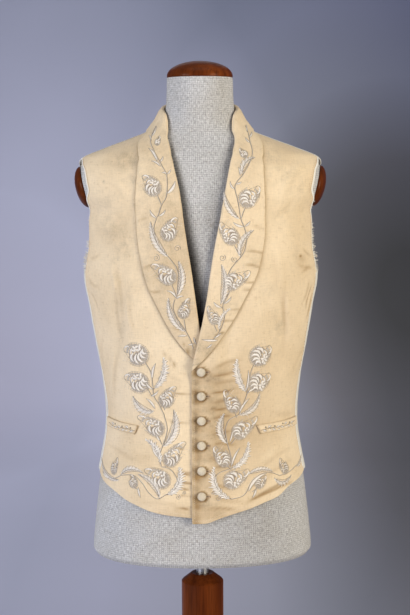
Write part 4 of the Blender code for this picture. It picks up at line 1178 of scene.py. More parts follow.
def make_collar(side):
    table, last = collar_table(side)
    station = table(np.linspace(0, last, COLLAR_STATIONS))
    for end_angle, end_height in ((station[0], station[1]), (station[2], station[3])):
        end_angle[-1] = along(end_angle[-1], end_height[-1], -SEAM_GAP / 2)
    width = station_width(side, station)[:, None]
    station = [s[:, None] for s in station]
    share, lift = collar_profile(width, station[4])
    angle, z = mix(station[0], station[2], share), mix(station[1], station[3], share)
    u = arc_at(angle, z)
    part, u_mm, z_mm = "lapel_" + side, u * 1000, z * 1000
    creases, soil_and_shade = crease_fields(part, u_mm, z_mm)
    outside = lift >= LAYER_GAP
    in_front = outside & (np.abs(angle) < LAPEL_FRONT)
    own = np.where(in_front, np.maximum(creases, COLLAR_TROUGH), 0.0)
    belly = COLLAR_BELLY * np.sin(np.pi * np.clip(share, 0, 1)) * outside
    folded = collar_point(side, [s + 0 * share for s in station], share, lift, own + belly)
    rings = np.where((lift > 0.0001)[..., None], folded, skin_at(side, angle, z, lift))
    length = np.concatenate([[0], np.cumsum(np.linalg.norm(np.diff(rings[:, 10], axis=0), axis=-1))])
    stain_and_shadow = stain_and_shadow_at(part, u_mm, z_mm) * (np.abs(angle) < 70)
    shade = np.clip(soil_and_shade + soft_shade(part, u_mm, z_mm), 0, 1) * in_front
    uv = np.stack([length[:, None] + 0 * share, share * width], -1)
    collar = loft(f"silk_collar_{side}", rings, CREAM, uv, {"stain_and_shadow": stain_and_shadow, "shade": shade}, 55)
    return ride(collar, f"collar_{side}", slot="cream_silk")


def make_welt(side):
    down, out = np.linspace(WELT_HEIGHT, 0, 9)[:, None], np.linspace(0, 1, 48)[None, :]
    inner_x, inner_top, outer_x, outer_top = WELTS[side]
    x = mix(inner_x, outer_x, out) + WELT_SLANT * down / WELT_HEIGHT * (1 - out)
    z = mix(inner_top, outer_top, out) - down
    angle = angle_at(x, z)
    puff = 0.0004 * np.sin(np.pi * down / WELT_HEIGHT)
    outer = panel_point("front", side, angle, z, LAYER_GAP + WELT_WALL + puff)
    inner = panel_point("front", side, angle, z, LAYER_GAP)
    edge = 0.30 * bell(down, 0.0011) + 0.36 * bell(down, 0.0012, WELT_HEIGHT) + 0.45 * bell(out, 0.03)
    values = {"stain_and_shadow": 0.4 * edge, "shade": np.clip(edge, 0, 0.8)}
    welt = shell(f"silk_welt_{side}", outer, inner, np.stack([arc_at(angle, z), z], -1), CREAM, values)
    return ride(welt, f"welt_{side}", slot="cream_silk")


BUTTON_SKIRT, GATHERS, GATHER_DEPTH = 0.0014, 12, 0.020


def make_buttons():
    """Domed moulds covered in silk, gathered a little at the rim, each square to the lap under it."""
    turns, swell_by = np.radians(np.linspace(0, 90, 13)), BUTTON_RISE - BUTTON_SKIRT
    profile = [(BUTTON_RADIUS * math.sin(t), BUTTON_SKIRT + swell_by * math.cos(t) ** 0.9) for t in turns]
    profile += [(BUTTON_RADIUS * 0.97, BUTTON_SKIRT / 2), (BUTTON_RADIUS * 0.80, 0.0), (0.0, 0.0)]
    for k, (z, seat) in enumerate(BUTTONS):
        button = turned(f"covered_button_{k + 1}", profile, COVER, 48)
        mesh = button.data
        co = np.empty(len(mesh.vertices) * 3)
        mesh.vertices.foreach_get("co", co)
        co = co.reshape(-1, 3)
        turn, radius = np.arctan2(co[:, 1], co[:, 0]), np.hypot(co[:, 0], co[:, 1]) / BUTTON_RADIUS
        gather = GATHER_DEPTH * np.sin(turn * GATHERS + k) * ramp(radius, 0.70, 1.0)
        co[:, :2] *= (1 + gather)[:, None]
        mesh.vertices.foreach_set("co", co.ravel())
        set_uv(mesh, co[:, :2])
        # Painted shade darkens each button's rim, and soil stains it a little.
        set_values(mesh, {"stain_and_shadow": 0.14 * ramp(radius, 0.55, 1.0), "shade": 0.85 * ramp(radius, 0.80, 1.0)})
        ahead, height = np.array([0.0]), np.array([z])
        base = Vector(panel_point("front", "left", ahead, height, np.array([seat]), False)[0])
        square = Vector(skin_normal(ahead, height)[0]).to_track_quat("Z", "Y").to_matrix().to_4x4()
        mesh.transform(Matrix.Translation(base) @ square)
        ride(button, f"button_{k + 1}", slot="cream_silk")


# ---------------------------------------------------------------- stitches laid on the cloth
def surface_tree(*objects):
    points, faces = [], []
    for obj in objects:
        start = len(points)
        points += [v.co[:] for v in obj.data.vertices]
        faces += [tuple(start + i for i in p.vertices) for p in obj.data.polygons]
    return BVHTree.FromPolygons(points, faces)


def lay_on(tree, side, flat, rise):
    """Places (u, z) in mm on a cloth's outer face, with a rise in mm above it."""
    u, z = flat[:, 0] * 0.001, flat[:, 1] * 0.001
    angle = angle_of(u, z)
    base, normal = skin(angle, z), skin_normal(angle, z)
    base[:, 0] *= SIDES[side]
    normal[:, 0] *= SIDES[side]
    start = base + normal * 0.03
    result = np.empty_like(base)
    for k in range(len(base)):
        hit = tree.ray_cast(Vector(start[k]), Vector(-normal[k]), 0.06)[0]
        result[k] = hit if hit is not None else base[k]
    return result + normal * (rise * 0.001)[:, None]


def bezier(start, end, bend, steps=10):
    """Curve from start to end, bowed to its left by bend."""
    start, end = np.asarray(start, float), np.asarray(end, float)
    run = end - start
    left = np.array((-run[1], run[0])) / max(np.hypot(*run), 1e-9)
    middle = (start + end) / 2 + left * bend * 2
    t = np.linspace(0, 1, steps)[:, None]
    return (1 - t) ** 2 * start + 2 * t * (1 - t) * middle + t * t * end


def through(points, step=2.2):
    """Smooth curve through given points, at an even step."""
    p = np.array(points, float)
    if len(p) == 2:
        return bezier(p[0], p[1], 0.0, max(3, int(np.hypot(*(p[1] - p[0])) / step)))
    p = np.concatenate([[2 * p[0] - p[1]], p, [2 * p[-1] - p[-2]]])
    found = []
    for a, b, c, d in zip(p, p[1:], p[2:], p[3:]):
        t = np.linspace(0, 1, max(2, int(np.hypot(*(c - b)) / step)), endpoint=False)[:, None]
        square, cube = (2 * a - 5 * b + 4 * c - d) * t**2, (3 * b - a - 3 * c + d) * t**3
        found.append(0.5 * (2 * b + (c - a) * t + square + cube))
    return np.concatenate([*found, [p[-2]]])


def run_and_side(line):
    """Unit directions along a line on the cloth and to its left."""
    run = np.gradient(line, axis=0)
    run /= np.maximum(np.hypot(run[:, 0], run[:, 1]), 1e-9)[:, None]
    return run, np.stack([-run[:, 1], run[:, 0]], -1)


def lengths_along(line):
    return np.concatenate([[0], np.cumsum(np.hypot(*np.diff(line, axis=0).T))])


ACROSS = np.array((-1.0, -0.62, 0.0, 0.62, 1.0))
ARCH = np.array((0.0, 0.78, 1.0, 0.78, 0.0))
STITCH_SINK = 0.12  # mm that a stitch's edges lie in the cloth


class Stitches:
    """Collects raised stitches, given in mm on the cloth, into one joined mesh."""

    def __init__(self):
        self.flat, self.rise, self.tint, self.uv, self.faces, self.count = [], [], [], [], [], 0

    def strand(self, line, half_width, rise, tint):
        """One padded strip along a line; half_width may change along it."""
        n = len(line)
        half = np.broadcast_to(half_width, (n,)).astype(float)
        _, side = run_and_side(line)
        flat = line[:, None, :] + side[:, None, :] * (half[:, None] * ACROSS)[..., None]
        thin = np.minimum(1.0, half / max(half.max() * 0.5, 1e-6))
        height = ARCH[None, :] * rise * thin[:, None] - STITCH_SINK
        uv = np.stack([lengths_along(line)[:, None] + 0 * height, half[:, None] * ACROSS], -1) * 0.001
        start = self.count
        r, k = np.meshgrid(np.arange(n - 1), np.arange(5), indexing="ij")
        a, b = start + r * 5 + k, start + r * 5 + (k + 1) % 5
        self.faces += np.stack([a, b, b + 5, a + 5], -1).reshape(-1, 4).tolist()
        self.faces += [[start + i for i in (4, 3, 2, 1, 0)], [start + (n - 1) * 5 + i for i in range(5)]]
        self.flat.append(flat.reshape(-1, 2))
        self.rise.append(height.ravel())
        self.uv.append(uv.reshape(-1, 2))
        self.tint.append(np.full(n * 5, tint))
        self.count += n * 5

    def build(self, name, tree, side, material):
        points = lay_on(tree, side, np.concatenate(self.flat), np.concatenate(self.rise))
        values = {"tint": np.concatenate(self.tint)}
        return ride(make_object(name, points, self.faces, material, np.concatenate(self.uv), values, 80))


def swell(steps, width, low=0.12, power=0.8):
    """Half-widths of a leaf-like strip: narrow, wide, and narrow to a point."""
    t = np.linspace(0, 1, steps)
    return np.maximum(width * np.sin(np.pi * t**power), low)


OUTER_SATIN = np.array((0.45, 0.80, 0.72, 0.18))
INNER_SATIN = np.array((0.8, 1.0, 0.9, 0.4))


def leaf(work, base, tip, bend, width, style):
    """A satin leaf: full is slanting stitches beside a midrib, feather is lapped barbs, slim is one strip."""
    base, tip = np.asarray(base, float), np.asarray(tip, float)
    length = np.hypot(*(tip - base))
    steps = int(np.clip(length / 3.0, 5, 14))
    line = bezier(base, tip, bend, steps)
    run, side = run_and_side(line)
    outward = math.copysign(1.0, bend)

    def beside(share):
        return line + side * outward * np.sign(share) * swell(steps, width * abs(share), 0.1)[:, None]

    if style == "slim":
        work.strand(line, swell(steps, max(width * 0.72, 0.9)), 0.9, 0.93)
        work.strand(beside(-0.95), 0.40, 0.6, 0.10)
        work.strand(beside(1.05), 0.26, 0.5, 0.34)
        return
    full = style == "full"
    half, tint, pitch = (0.50, 0.80, 2.0) if full else (0.74, 0.72, 3.6)
    work.strand(beside(0.46), swell(steps, width * half, 0.25), 0.5, tint)
    count = max(6, int(length / pitch))
    for k in range(count):
        t = (k + 0.5) / count
        place = t * (steps - 1)
        i = min(int(place), steps - 2)
        root = line[i] + (line[i + 1] - line[i]) * (place - i)
        swelling = math.sin(math.pi * min(t * 0.90 + 0.06, 1.0) ** 0.8) ** 0.7
        for sign in (1, -1):
            outer = sign * bend >= 0
            reach = width * swelling * (1.30 if outer else 0.85) * (1.0 + 0.20 * math.sin(k * 2.4))
            if full:
                end = root + side[i] * sign * reach + run[i] * (reach * 0.9 + 1.2)
                half, rise = (OUTER_SATIN, 0.95) if outer else ((0.8, 0.34)[k % 2] * INNER_SATIN, 0.6)
                tint = (1.0, 0.72, 0.97)[k % 3] if outer else (0.86, 0.40)[k % 2]
                work.strand(bezier(root, end, -0.5 * sign, 4), half, rise, tint)
                continue
            end = root + side[i] * sign * reach * 1.08 + run[i] * (reach * 1.2 + 1.6)
            barb = bezier(root, end, -1.2 * sign, 6)
            work.strand(barb, swell(6, 1.6 if outer else 1.2, 0.3), 1.0, 0.97 if k % 3 else 0.82)
            work.strand(barb - run[i] * 1.8, 0.36, 0.6, 0.08 if outer else 0.22)
    work.strand(line, 0.46, 1.05, 0.08)
    if full:
        work.strand(beside(-0.95) + run * width * 0.4, 0.38, 0.6, 0.14)
        work.strand(beside(1.36) + run * width * 0.5, 0.34, 0.6, 0.12)


FAN_THICKNESS = np.array((0.35, 0.85, 1.15, 1.30, 1.20, 0.85, 0.35))
FAN = (
    # from_ahead, from_hood, to_ahead, to_hood, bend
    (0.30, 0.00, 0.10, -0.66, 0.22),
    (0.06, 0.06, -0.26, -0.66, 0.24),
    (-0.10, 0.22, -0.56, -0.42, 0.26),
    (-0.20, 0.44, -0.70, -0.02, 0.26),
    (-0.26, 0.62, -0.66, 0.36, 0.22),
)
BEADS = ((0.24, 0.30), (0.06, 0.36), (-0.02, 0.56), (0.20, 0.60), (0.36, 0.46), (0.02, 0.76), (0.34, 0.20))
BEAK = ((0.52, 0.66), (0.78, 0.46), (1.03, 0.12), (1.02, -0.16), (0.88, -0.26))
BEAK_WHITE = ((0.60, 0.30), (0.78, 0.36), (0.98, 0.14), (0.96, -0.10))


# A flower's own places: ahead towards its tip, and towards its hood, both as shares of its size.
HOOD_RINGS = (
    # radius, from_degrees, to_degrees, tint
    (0.14, 0, 352, 0.26),
    (0.36, 0, 352, 0.30),
    (0.58, -30, 322, 0.36),
    (0.80, -16, 300, 0.46),
)
HOOD_LINES = (
    # radius, from_degrees, to_degrees, steps, half_width, tint
    (0.99, 20, 110, 10, 0.30, 0.30),
    (0.98, 118, 300, 16, 0.30, 0.26),
    (0.68, 24, 190, 12, 0.32, 0.16),
)
# Dark strands beside each petal: painted shadow in the gaps between the raised petals.
PETAL_GAP_SHADOWS = (
    # offsets from the petal's four numbers, half_width, tint
    ((0.09, -0.12, 0.17, 0.02), 0.56, 0.03),
    ((-0.10, -0.02, -0.10, 0.16), 0.34, 0.20),
)
NECK = ((0.44, 0.38), (0.53, 0.08), (0.44, -0.28))
THROAT = ((0.34, -0.62), (0.58, -0.44), (0.86, -0.26))
FINE_FLOWER = 10.0  # mm of half-width under which a flower has fewer stitches


def flower(work, centre, tip, half_width, swirl, petals=7):
    """Blossom seen from its side: a fan of comma petals under a softly hatched hood, and a hooked beak."""
    centre, tip = np.asarray(centre, float), np.asarray(tip, float)
    reach = np.hypot(*(tip - centre)) * 1.10
    ahead = (tip - centre) / reach * 1.10
    aside = np.array((-ahead[1], ahead[0])) * swirl
    half_width = half_width * 1.06
    fine = half_width < FINE_FLOWER

    def at(places):
        places = np.atleast_2d(np.asarray(places, float))
        behind = np.minimum(places[:, :1], 0.0) * half_width * 1.05
        forward = behind + np.maximum(places[:, :1], 0.0) * reach
        return centre + forward * ahead + places[:, 1:] * half_width * aside

    def ring(radius, low, high, steps):
        turn = np.radians(np.linspace(low, high, steps))
        return at(np.stack([radius * np.cos(turn) * 0.94, radius * np.sin(turn) * 0.96], -1))

    def ray(turn, near, far, bend, steps=4):
        turn = math.radians(turn)
        way = np.array((math.cos(turn), math.sin(turn)))
        return bezier(at(way * near)[0], at(way * far)[0], bend * swirl, steps)

    for radius, low, high, tint in HOOD_RINGS:
        work.strand(ring(radius, low, high, 20), half_width * 0.125, 0.25, tint)
    count = 14 if fine else 30
    for k in range(count):
        turn = -16 + 320 * (k + 0.5) / count
        line = ray(turn, (1.02, 0.92, 0.97)[k % 3], 0.62 + 0.06 * math.sin(k * 2.3), 0.05 * half_width)
        work.strand(line, np.array((0.18, 0.38, 0.40, 0.18)), 0.55, (0.16, 0.62, 0.34, 0.10)[k % 4])
    for radius, low, high, steps, half, tint in HOOD_LINES:
        work.strand(ring(radius, low, high, steps), half, 0.5, tint)
    thick = max(half_width * 0.092, 0.74)
    for k, (*petal, bow) in enumerate(FAN[: 3 if fine else 5 if petals >= 9 else 4]):
        bow = bow * half_width * swirl
        line = bezier(*at(np.reshape(petal, (2, 2))), bow, 7)
        work.strand(line, thick * FAN_THICKNESS, 1.2, (1.0, 0.95)[k % 2])
        for offsets, half, tint in PETAL_GAP_SHADOWS:
            work.strand(bezier(*at(np.add(petal, offsets).reshape(2, 2)), bow, 6), half, 0.6, tint)
    for k, place in enumerate(BEADS[: 4 if fine else 7]):
        spot, turn = at(place)[0], 1.9 + k * 1.3
        way = np.array((math.cos(turn), math.sin(turn))) * thick * 1.5
        work.strand(np.array([spot - way, spot, spot + way]), thick * np.array((0.6, 1.15, 0.6)), 1.1, 0.99)
    beak, white, neck = (through(at(places), 1.6) for places in (BEAK, BEAK_WHITE, NECK))
    work.strand(beak, 0.40, 0.7, 0.16)
    work.strand(white, swell(len(white), 0.9 if fine else 1.5, 0.35), 1.1, 0.99)
    work.strand(neck, swell(len(neck), 0.85 if fine else 1.5, 0.35), 1.1, 0.98)
    work.strand(neck + ahead * 1.6, 0.36, 0.6, 0.08)
    work.strand(through(at(THROAT), 1.8), 0.34, 0.55, 0.16)
    for k in range(0 if fine else 12):
        column, row = k % 3, k // 3
        spot = at((0.50 + 0.15 * column + 0.03 * row, -0.34 - 0.17 * row - 0.05 * column))[0]
        slant = (ahead * 0.8 - aside * (0.6 if row % 2 else -0.4)) * 0.75
        line = np.array([spot - slant, spot, spot + slant])
        work.strand(line, np.array((0.22, 0.46, 0.22)), 0.6, (0.28, 0.80, 0.52)[column])


def scroll(work, centre, radius, start, swirl):
    """A small tendril curling in on itself."""
    turn = np.radians(np.linspace(0, 520, 20))
    fade = radius * (1.0 - turn / turn[-1] * 0.78)
    angle = np.radians(start) + turn * swirl
    centre = np.asarray(centre, float)
    line = centre + np.stack([np.cos(angle) * fade, np.sin(angle) * fade], -1)
    work.strand(line, 0.46, 0.7, 0.10)
    work.strand(line[:14] * 0.93 + centre * 0.07, 0.34, 0.6, 0.9)


def stem(work, points):
    """Stem stitch: a grey-brown line with a paler one laid beside it."""
    line = through(points)
    _, side = run_and_side(line)
    work.strand(line, 0.42, 0.7, 0.10)
    work.strand(line + side * 0.85, 0.32, 0.6, 0.80)


# Motifs by region: stems as lines of points, leaves, flowers and scrolls.
STEMS_MM = {
    "lapel_right": (
        ((75, 1446), (79, 1423), (68, 1400), (63, 1391), (52, 1373)),
        ((52, 1373), (51, 1355), (53, 1337), (60, 1325), (65, 1310), (68, 1305)),
        ((67, 1341), (60, 1325)),
        ((68, 1305), (72, 1287), (65, 1260), (49, 1244), (38, 1230)),
        ((38, 1230), (34, 1216), (35, 1203), (37, 1183)),
        ((40, 1179), (43, 1165), (38, 1150), (29, 1136), (22, 1125)),
        ((45, 1202), (38, 1183)),
        ((26, 1146), (23, 1127)),
        ((22, 1125), (16, 1113), (12, 1100)),
    ),
    "lapel_left": (
        ((79, 1446), (80, 1423), (83, 1407), (79, 1391), (67, 1371)),
        ((67, 1371), (56, 1358), (54, 1349)),
        ((54, 1349), (59, 1328), (63, 1303), (68, 1291)),
        ((68, 1291), (72, 1274), (69, 1255), (63, 1244)),
        ((63, 1244), (48, 1227), (40, 1208), (38, 1188), (34, 1165)),
        ((46, 1192), (36, 1172)),
        ((64, 1304), (70, 1320)),
        ((61, 1246), (53, 1262)),
        ((34, 1165), (37, 1151), (30, 1130), (17, 1112)),
        ((25, 1128), (21, 1137)),
    ),
    "front_right": (
        ((90, 1075), (81, 1059), (78, 1038), (76, 1020), (68, 1007), (60, 991)),
        ((87, 1033), (80, 1020)),
        ((59, 998), (63, 1008)),
        ((60, 991), (55, 966), (63, 939), (67, 925), (65, 908)),
        ((69, 954), (64, 943)),
        ((57, 908), (64, 906)),
        ((65, 908), (49, 903), (39, 887), (45, 871), (58, 863)),
        ((58, 863), (72, 856), (87, 865), (98, 879), (114, 890), (139, 887)),
        ((139, 887), (152, 881), (175, 879), (205, 900)),
        ((112, 871), (101, 866)),
    ),
    "front_left": (
        ((87, 1073), (80, 1059), (74, 1027), (69, 1011), (60, 990)),
        ((80, 1032), (74, 1024)),
        ((54, 993), (57, 985)),
        ((60, 990), (44, 982), (38, 966), (41, 945), (46, 926), (47, 905)),
        ((56, 954), (47, 944)),
        ((41, 909), (48, 902)),
        ((47, 905), (25, 897), (20, 880), (30, 864), (48, 856)),
        ((48, 856), (69, 862), (81, 882), (98, 893), (116, 893), (133, 886)),
        ((133, 886), (156, 889), (177, 896)),
        ((91, 872), (82, 866)),
    ),
}
LEAVES_MM = {
    # base_u, base_z, tip_u, tip_z, bend, width, style
    "lapel_right": (
        (68, 1392, 82, 1412, 3, 2.2, "slim"),
        (62, 1384, 77, 1392, 2, 1.6, "slim"),
        (79, 1430, 73, 1446, 2, 1.3, "slim"),
        (78, 1424, 84, 1432, 1, 1.2, "slim"),
        (63, 1391, 58, 1400, 1, 1.3, "slim"),
        (52, 1373, 60, 1375, 1, 1.2, "slim"),
        (52, 1373, 46, 1380, 1, 1.2, "slim"),
        (52, 1343, 39, 1362, 3, 3.0, "slim"),
        (68, 1305, 79, 1318, -2, 2.0, "slim"),
        (65, 1308, 54, 1318, 2, 1.8, "slim"),
        (50, 1245, 77, 1297, -6, 5.2, "full"),
        (37, 1184, 34, 1236, 5, 5.2, "full"),
        (38, 1180, 53, 1192, 3, 2.0, "slim"),
        (38, 1179, 27, 1183, -2, 1.8, "slim"),
        (25, 1127, 50, 1178, -7, 4.8, "full"),
        (22, 1120, 36, 1119, 1, 1.7, "slim"),
        (11, 1118, 7, 1106, 1, 1.4, "slim"),
        (20, 1106, 11, 1108, 1, 1.2, "slim"),
    ),
    "lapel_left": (
        (78, 1436, 83, 1446, 1, 1.3, "slim"),
        (79, 1428, 88, 1436, -1, 1.5, "slim"),
        (80, 1420, 73, 1428, 1, 1.3, "slim"),
        (66, 1371, 85, 1396, 6, 4.4, "full"),
        (63, 1370, 60, 1383, -1, 1.5, "slim"),
        (56, 1357, 65, 1360, -1, 1.5, "slim"),
        (54, 1349, 47, 1361, 2, 1.6, "slim"),
        (61, 1303, 38, 1344, 5, 4.0, "full"),
        (68, 1291, 51, 1298, 2, 2.0, "slim"),
        (69, 1291, 78, 1299, -1, 1.6, "slim"),
        (62, 1243, 82, 1284, 7, 4.8, "full"),
        (31, 1170, 33, 1230, -5, 5.2, "full"),
        (33, 1165, 20, 1174, 2, 2.0, "slim"),
        (36, 1171, 48, 1182, -2, 1.7, "slim"),
        (29, 1129, 45, 1162, 5, 3.2, "feather"),
        (26, 1114, 1, 1115, 1, 1.9, "slim"),
        (20, 1118, 32, 1125, -1, 1.5, "slim"),
        (17, 1108, 8, 1101, 1, 1.3, "slim"),
    ),
    "front_right": (
        (77, 1032, 60, 1082, 7, 5.6, "feather"),
        (79, 1048, 73, 1074, -2, 2.4, "slim"),
        (78, 1031, 90, 1043, -2, 2.2, "slim"),
        (82, 1020, 69, 1030, 2, 2.0, "slim"),
        (76, 996, 112, 1016, -8, 6.0, "full"),
        (75, 1000, 90, 1016, 2, 2.2, "slim"),
        (63, 939, 44, 996, 9, 6.6, "full"),
        (67, 948, 74, 960, -1, 1.8, "slim"),
        (67, 911, 91, 948, 7, 4.8, "feather"),
        (70, 922, 80, 942, -2, 2.0, "slim"),
        (57, 863, 36, 906, 9, 6.2, "feather"),
        (68, 857, 103, 892, 7, 5.0, "full"),
        (139, 888, 98, 896, -7, 4.0, "full"),
        (105, 872, 101, 856, 1, 2.0, "slim"),
        (143, 879, 206, 905, -9, 3.6, "full"),
        (165, 880, 192, 884, -3, 2.2, "slim"),
    ),
    "front_left": (
        (73, 1026, 58, 1078, 5, 5.4, "feather"),
        (72, 1028, 76, 1062, -2, 2.0, "slim"),
        (75, 1027, 87, 1033, -1, 2.0, "slim"),
        (60, 990, 95, 1021, -8, 4.6, "full"),
        (61, 993, 78, 1016, 2, 2.0, "slim"),
        (42, 944, 36, 991, 8, 5.6, "full"),
        (45, 947, 50, 965, -1, 1.8, "slim"),
        (47, 905, 76, 944, -8, 5.0, "feather"),
        (48, 909, 62, 937, 2, 2.0, "slim"),
        (47, 857, 20, 906, 11, 5.8, "feather"),
        (75, 894, 118, 895, 5, 3.6, "full"),
        (76, 867, 108, 893, 6, 3.2, "slim"),
        (89, 870, 82, 856, 1, 2.0, "slim"),
        (122, 884, 158, 882, -8, 4.2, "full"),
        (176, 894, 202, 908, -3, 3.2, "full"),
    ),
}
FLOWERS_MM = {
    # u, z, tip_u, tip_z, half_width, swirl, petals
    "lapel_right": (
        (68, 1421, 65, 1430, 4.5, 1, 5),
        (74, 1352, 88, 1368, 14.0, 1, 7),
        (50, 1282, 38, 1303, 13.0, -1, 7),
        (51, 1214, 74, 1230, 14.0, 1, 7),
        (27, 1157, 19, 1177, 9.5, -1, 7),
    ),
    "lapel_left": (
        (70, 1402, 64, 1410, 6.0, 1, 5),
        (74, 1334, 91, 1350, 15.0, -1, 7),
        (48, 1275, 33, 1295, 13.0, 1, 7),
        (48, 1205, 74, 1219, 14.0, -1, 7),
        (21, 1147, 13, 1165, 9.0, 1, 7),
    ),
    "front_right": (
        (103, 1087, 126, 1094, 19.0, 1, 10),
        (102, 1041, 126, 1048, 17.5, 1, 10),
        (57, 1014, 43, 1034, 12.5, -1, 7),
        (74, 968, 102, 983, 14.5, 1, 7),
        (50, 920, 29, 944, 13.0, -1, 7),
        (65, 887, 90, 899, 15.0, 1, 7),
        (114, 878, 118, 889, 8.5, 1, 6),
        (157, 894, 149, 911, 8.5, 1, 6),
    ),
    "front_left": (
        (95, 1084, 113, 1096, 18.0, -1, 10),
        (92, 1041, 112, 1051, 17.0, -1, 10),
        (52, 1005, 39, 1028, 12.0, 1, 7),
        (62, 963, 88, 982, 14.0, -1, 7),
        (36, 919, 22, 938, 12.5, 1, 7),
        (49, 886, 73, 899, 15.0, -1, 7),
        (95, 878, 105, 888, 9.0, -1, 6),
        (146, 895, 135, 911, 9.0, 1, 6),
    ),
}
SCROLLS_MM = {
    # u, z, radius, start, swirl
    "lapel_right": ((69, 1243, 5.6, 90, 1), (36, 1258, 5.2, 200, -1)),
    "lapel_left": ((34, 1243, 5.4, 60, -1), (53, 1240, 5.0, 120, 1)),
    "front_right": ((38, 860, 4.0, 90, 1), (28, 868, 3.0, 0, -1)),
    "front_left": ((26, 858, 4.0, 90, -1), (18, 868, 3.0, 180, 1)),
}


def embroider(region, tree, side):
    work = Stitches()
    for points in STEMS_MM[region]:
        stem(work, points)
    for u0, z0, u1, z1, *shape in LEAVES_MM[region]:
        leaf(work, (u0, z0), (u1, z1), *shape)
    for u, z, tip_u, tip_z, *shape in FLOWERS_MM[region]:
        flower(work, (u, z), (tip_u, tip_z), *shape)
    for u, z, *shape in SCROLLS_MM[region]:
        scroll(work, (u, z), *shape)
    return work.build("embroidery_" + region, tree, side, SILK)


WELT_MOTIF_FROM, WELT_MOTIF_TO, WELT_MOTIF_PITCH = {"left": 101.0, "right": 114.0}, 174, 8.6


def embroider_welt(side, tree):
    """A row of leaves and buds to either side of one wavy stem."""
    work = Stitches()
    top, first = WELTS[side][1] * 1000, WELT_MOTIF_FROM[side]
    for k in range(int((WELT_MOTIF_TO - first) / WELT_MOTIF_PITCH)):
        u = first + k * WELT_MOTIF_PITCH
        z = top - 7.6 + (u - first) * 0.045 + 1.4 * math.sin(k * 1.7)
        lean = 1.0 if k % 2 else -1.0
        leaf(work, (u, z), (u + 7.0, z + 2.8 * lean), lean, 1.9, "slim")
        bud = np.array([(u + 3.0, z - 3.0 * lean), (u + 4.4, z - 3.6 * lean), (u + 5.8, z - 3.4 * lean)])
        work.strand(bud, (0.6, 1.2, 0.6), 0.9, 0.98 if k % 2 else 0.04)
        work.strand(bud + (0.6, 1.5 * lean), (0.3, 0.6, 0.3), 0.6, 0.02)
    wavy = [(first + ahead, top - below) for ahead, below in ((-4, 8.5), (18, 6.2), (40, 7.2))]
    work.strand(through([*wavy, (WELT_MOTIF_TO, top - 3.0)]), 0.50, 0.6, 0.05)
    return work.build(f"embroidery_welt_{side}", tree, side, SILK)


def dashes(work, line, pitch, length, half_width, rise, tint):
    """Running stitches along a line."""
    steps = lengths_along(line)
    for start in np.arange(0, steps[-1] - length, pitch):
        places = (start, start + length / 2, start + length)
        stitch = np.stack([np.interp(places, steps, line[:, axis]) for axis in (0, 1)], -1)
        work.strand(stitch, np.array((0.5, 1.0, 0.5)) * half_width, rise, tint)


def upright(angle, z):
    """A line up the cloth at an angle round the body, in mm."""
    return np.stack([arc_at(angle + 0 * z, z) * 1000, z * 1000], -1)


def edge_line(inset, low, high):
    """Line at a distance in mm inside the front's armhole edge."""
    z = np.linspace(low, high, 60)
    return upright(armhole(z)[0], z) - (inset, 0)


def buttonhole(work, middle):
    """A worked slot across the lap at a height in mm, with a bar at its end."""
    # The near-black strip along the slit is painted shade in its opening.
    work.strand(bezier((3, middle), (12.5, middle + 0.4), 0.15, 6), swell(6, 0.95, 0.4), 0.25, 0.02)
    for k in range(14):
        u = 1.5 + k * 0.86
        for sign in (-1, 1):
            end = (u + 0.1, middle + 2.0 * sign)
            work.strand(bezier((u, middle + 0.55 * sign), end, 0, 3), 0.28, 0.40, 0.66)
    work.strand(bezier((13.2, middle - 1.7), (13.2, middle + 1.9), -0.5, 6), 0.55, 0.6, 0.40)


ARMHOLE_DASHES = {
    # inset, from_height, to_height, pitch, length, half_width, rise, tint
    "right": ((4.8, 1.218, 1.398, 3.0, 2.8, 0.66, 0.40, 0.52),),
    "left": (
        (6.0, 1.222, 1.398, 3.4, 2.9, 0.55, 0.40, 0.46),
        (9.4, 1.232, 1.396, 3.8, 2.9, 0.36, 0.35, 0.56),
    ),
}
ARMHOLE_ROLL = {
    # inset, from_height, to_height, half_width, rise, tint
    "right": (1.6, 1.218, 1.398, 1.5, 0.35, 0.96),
    "left": (2.2, 1.216, 1.399, 2.2, 0.45, 1.0),
}
SIDE_ROLL = {
    # inset and half_width of the roll, inset of its stitches, half_width of the shoulder's roll
    "right": (1.4, 1.2, 5.0, 1.7),
    "left": (3.6, 3.4, 8.0, 2.2),
}
HEM_STITCH = (2.2, 0.22, 0.25, 0.80)  # length, half_width, rise, tint


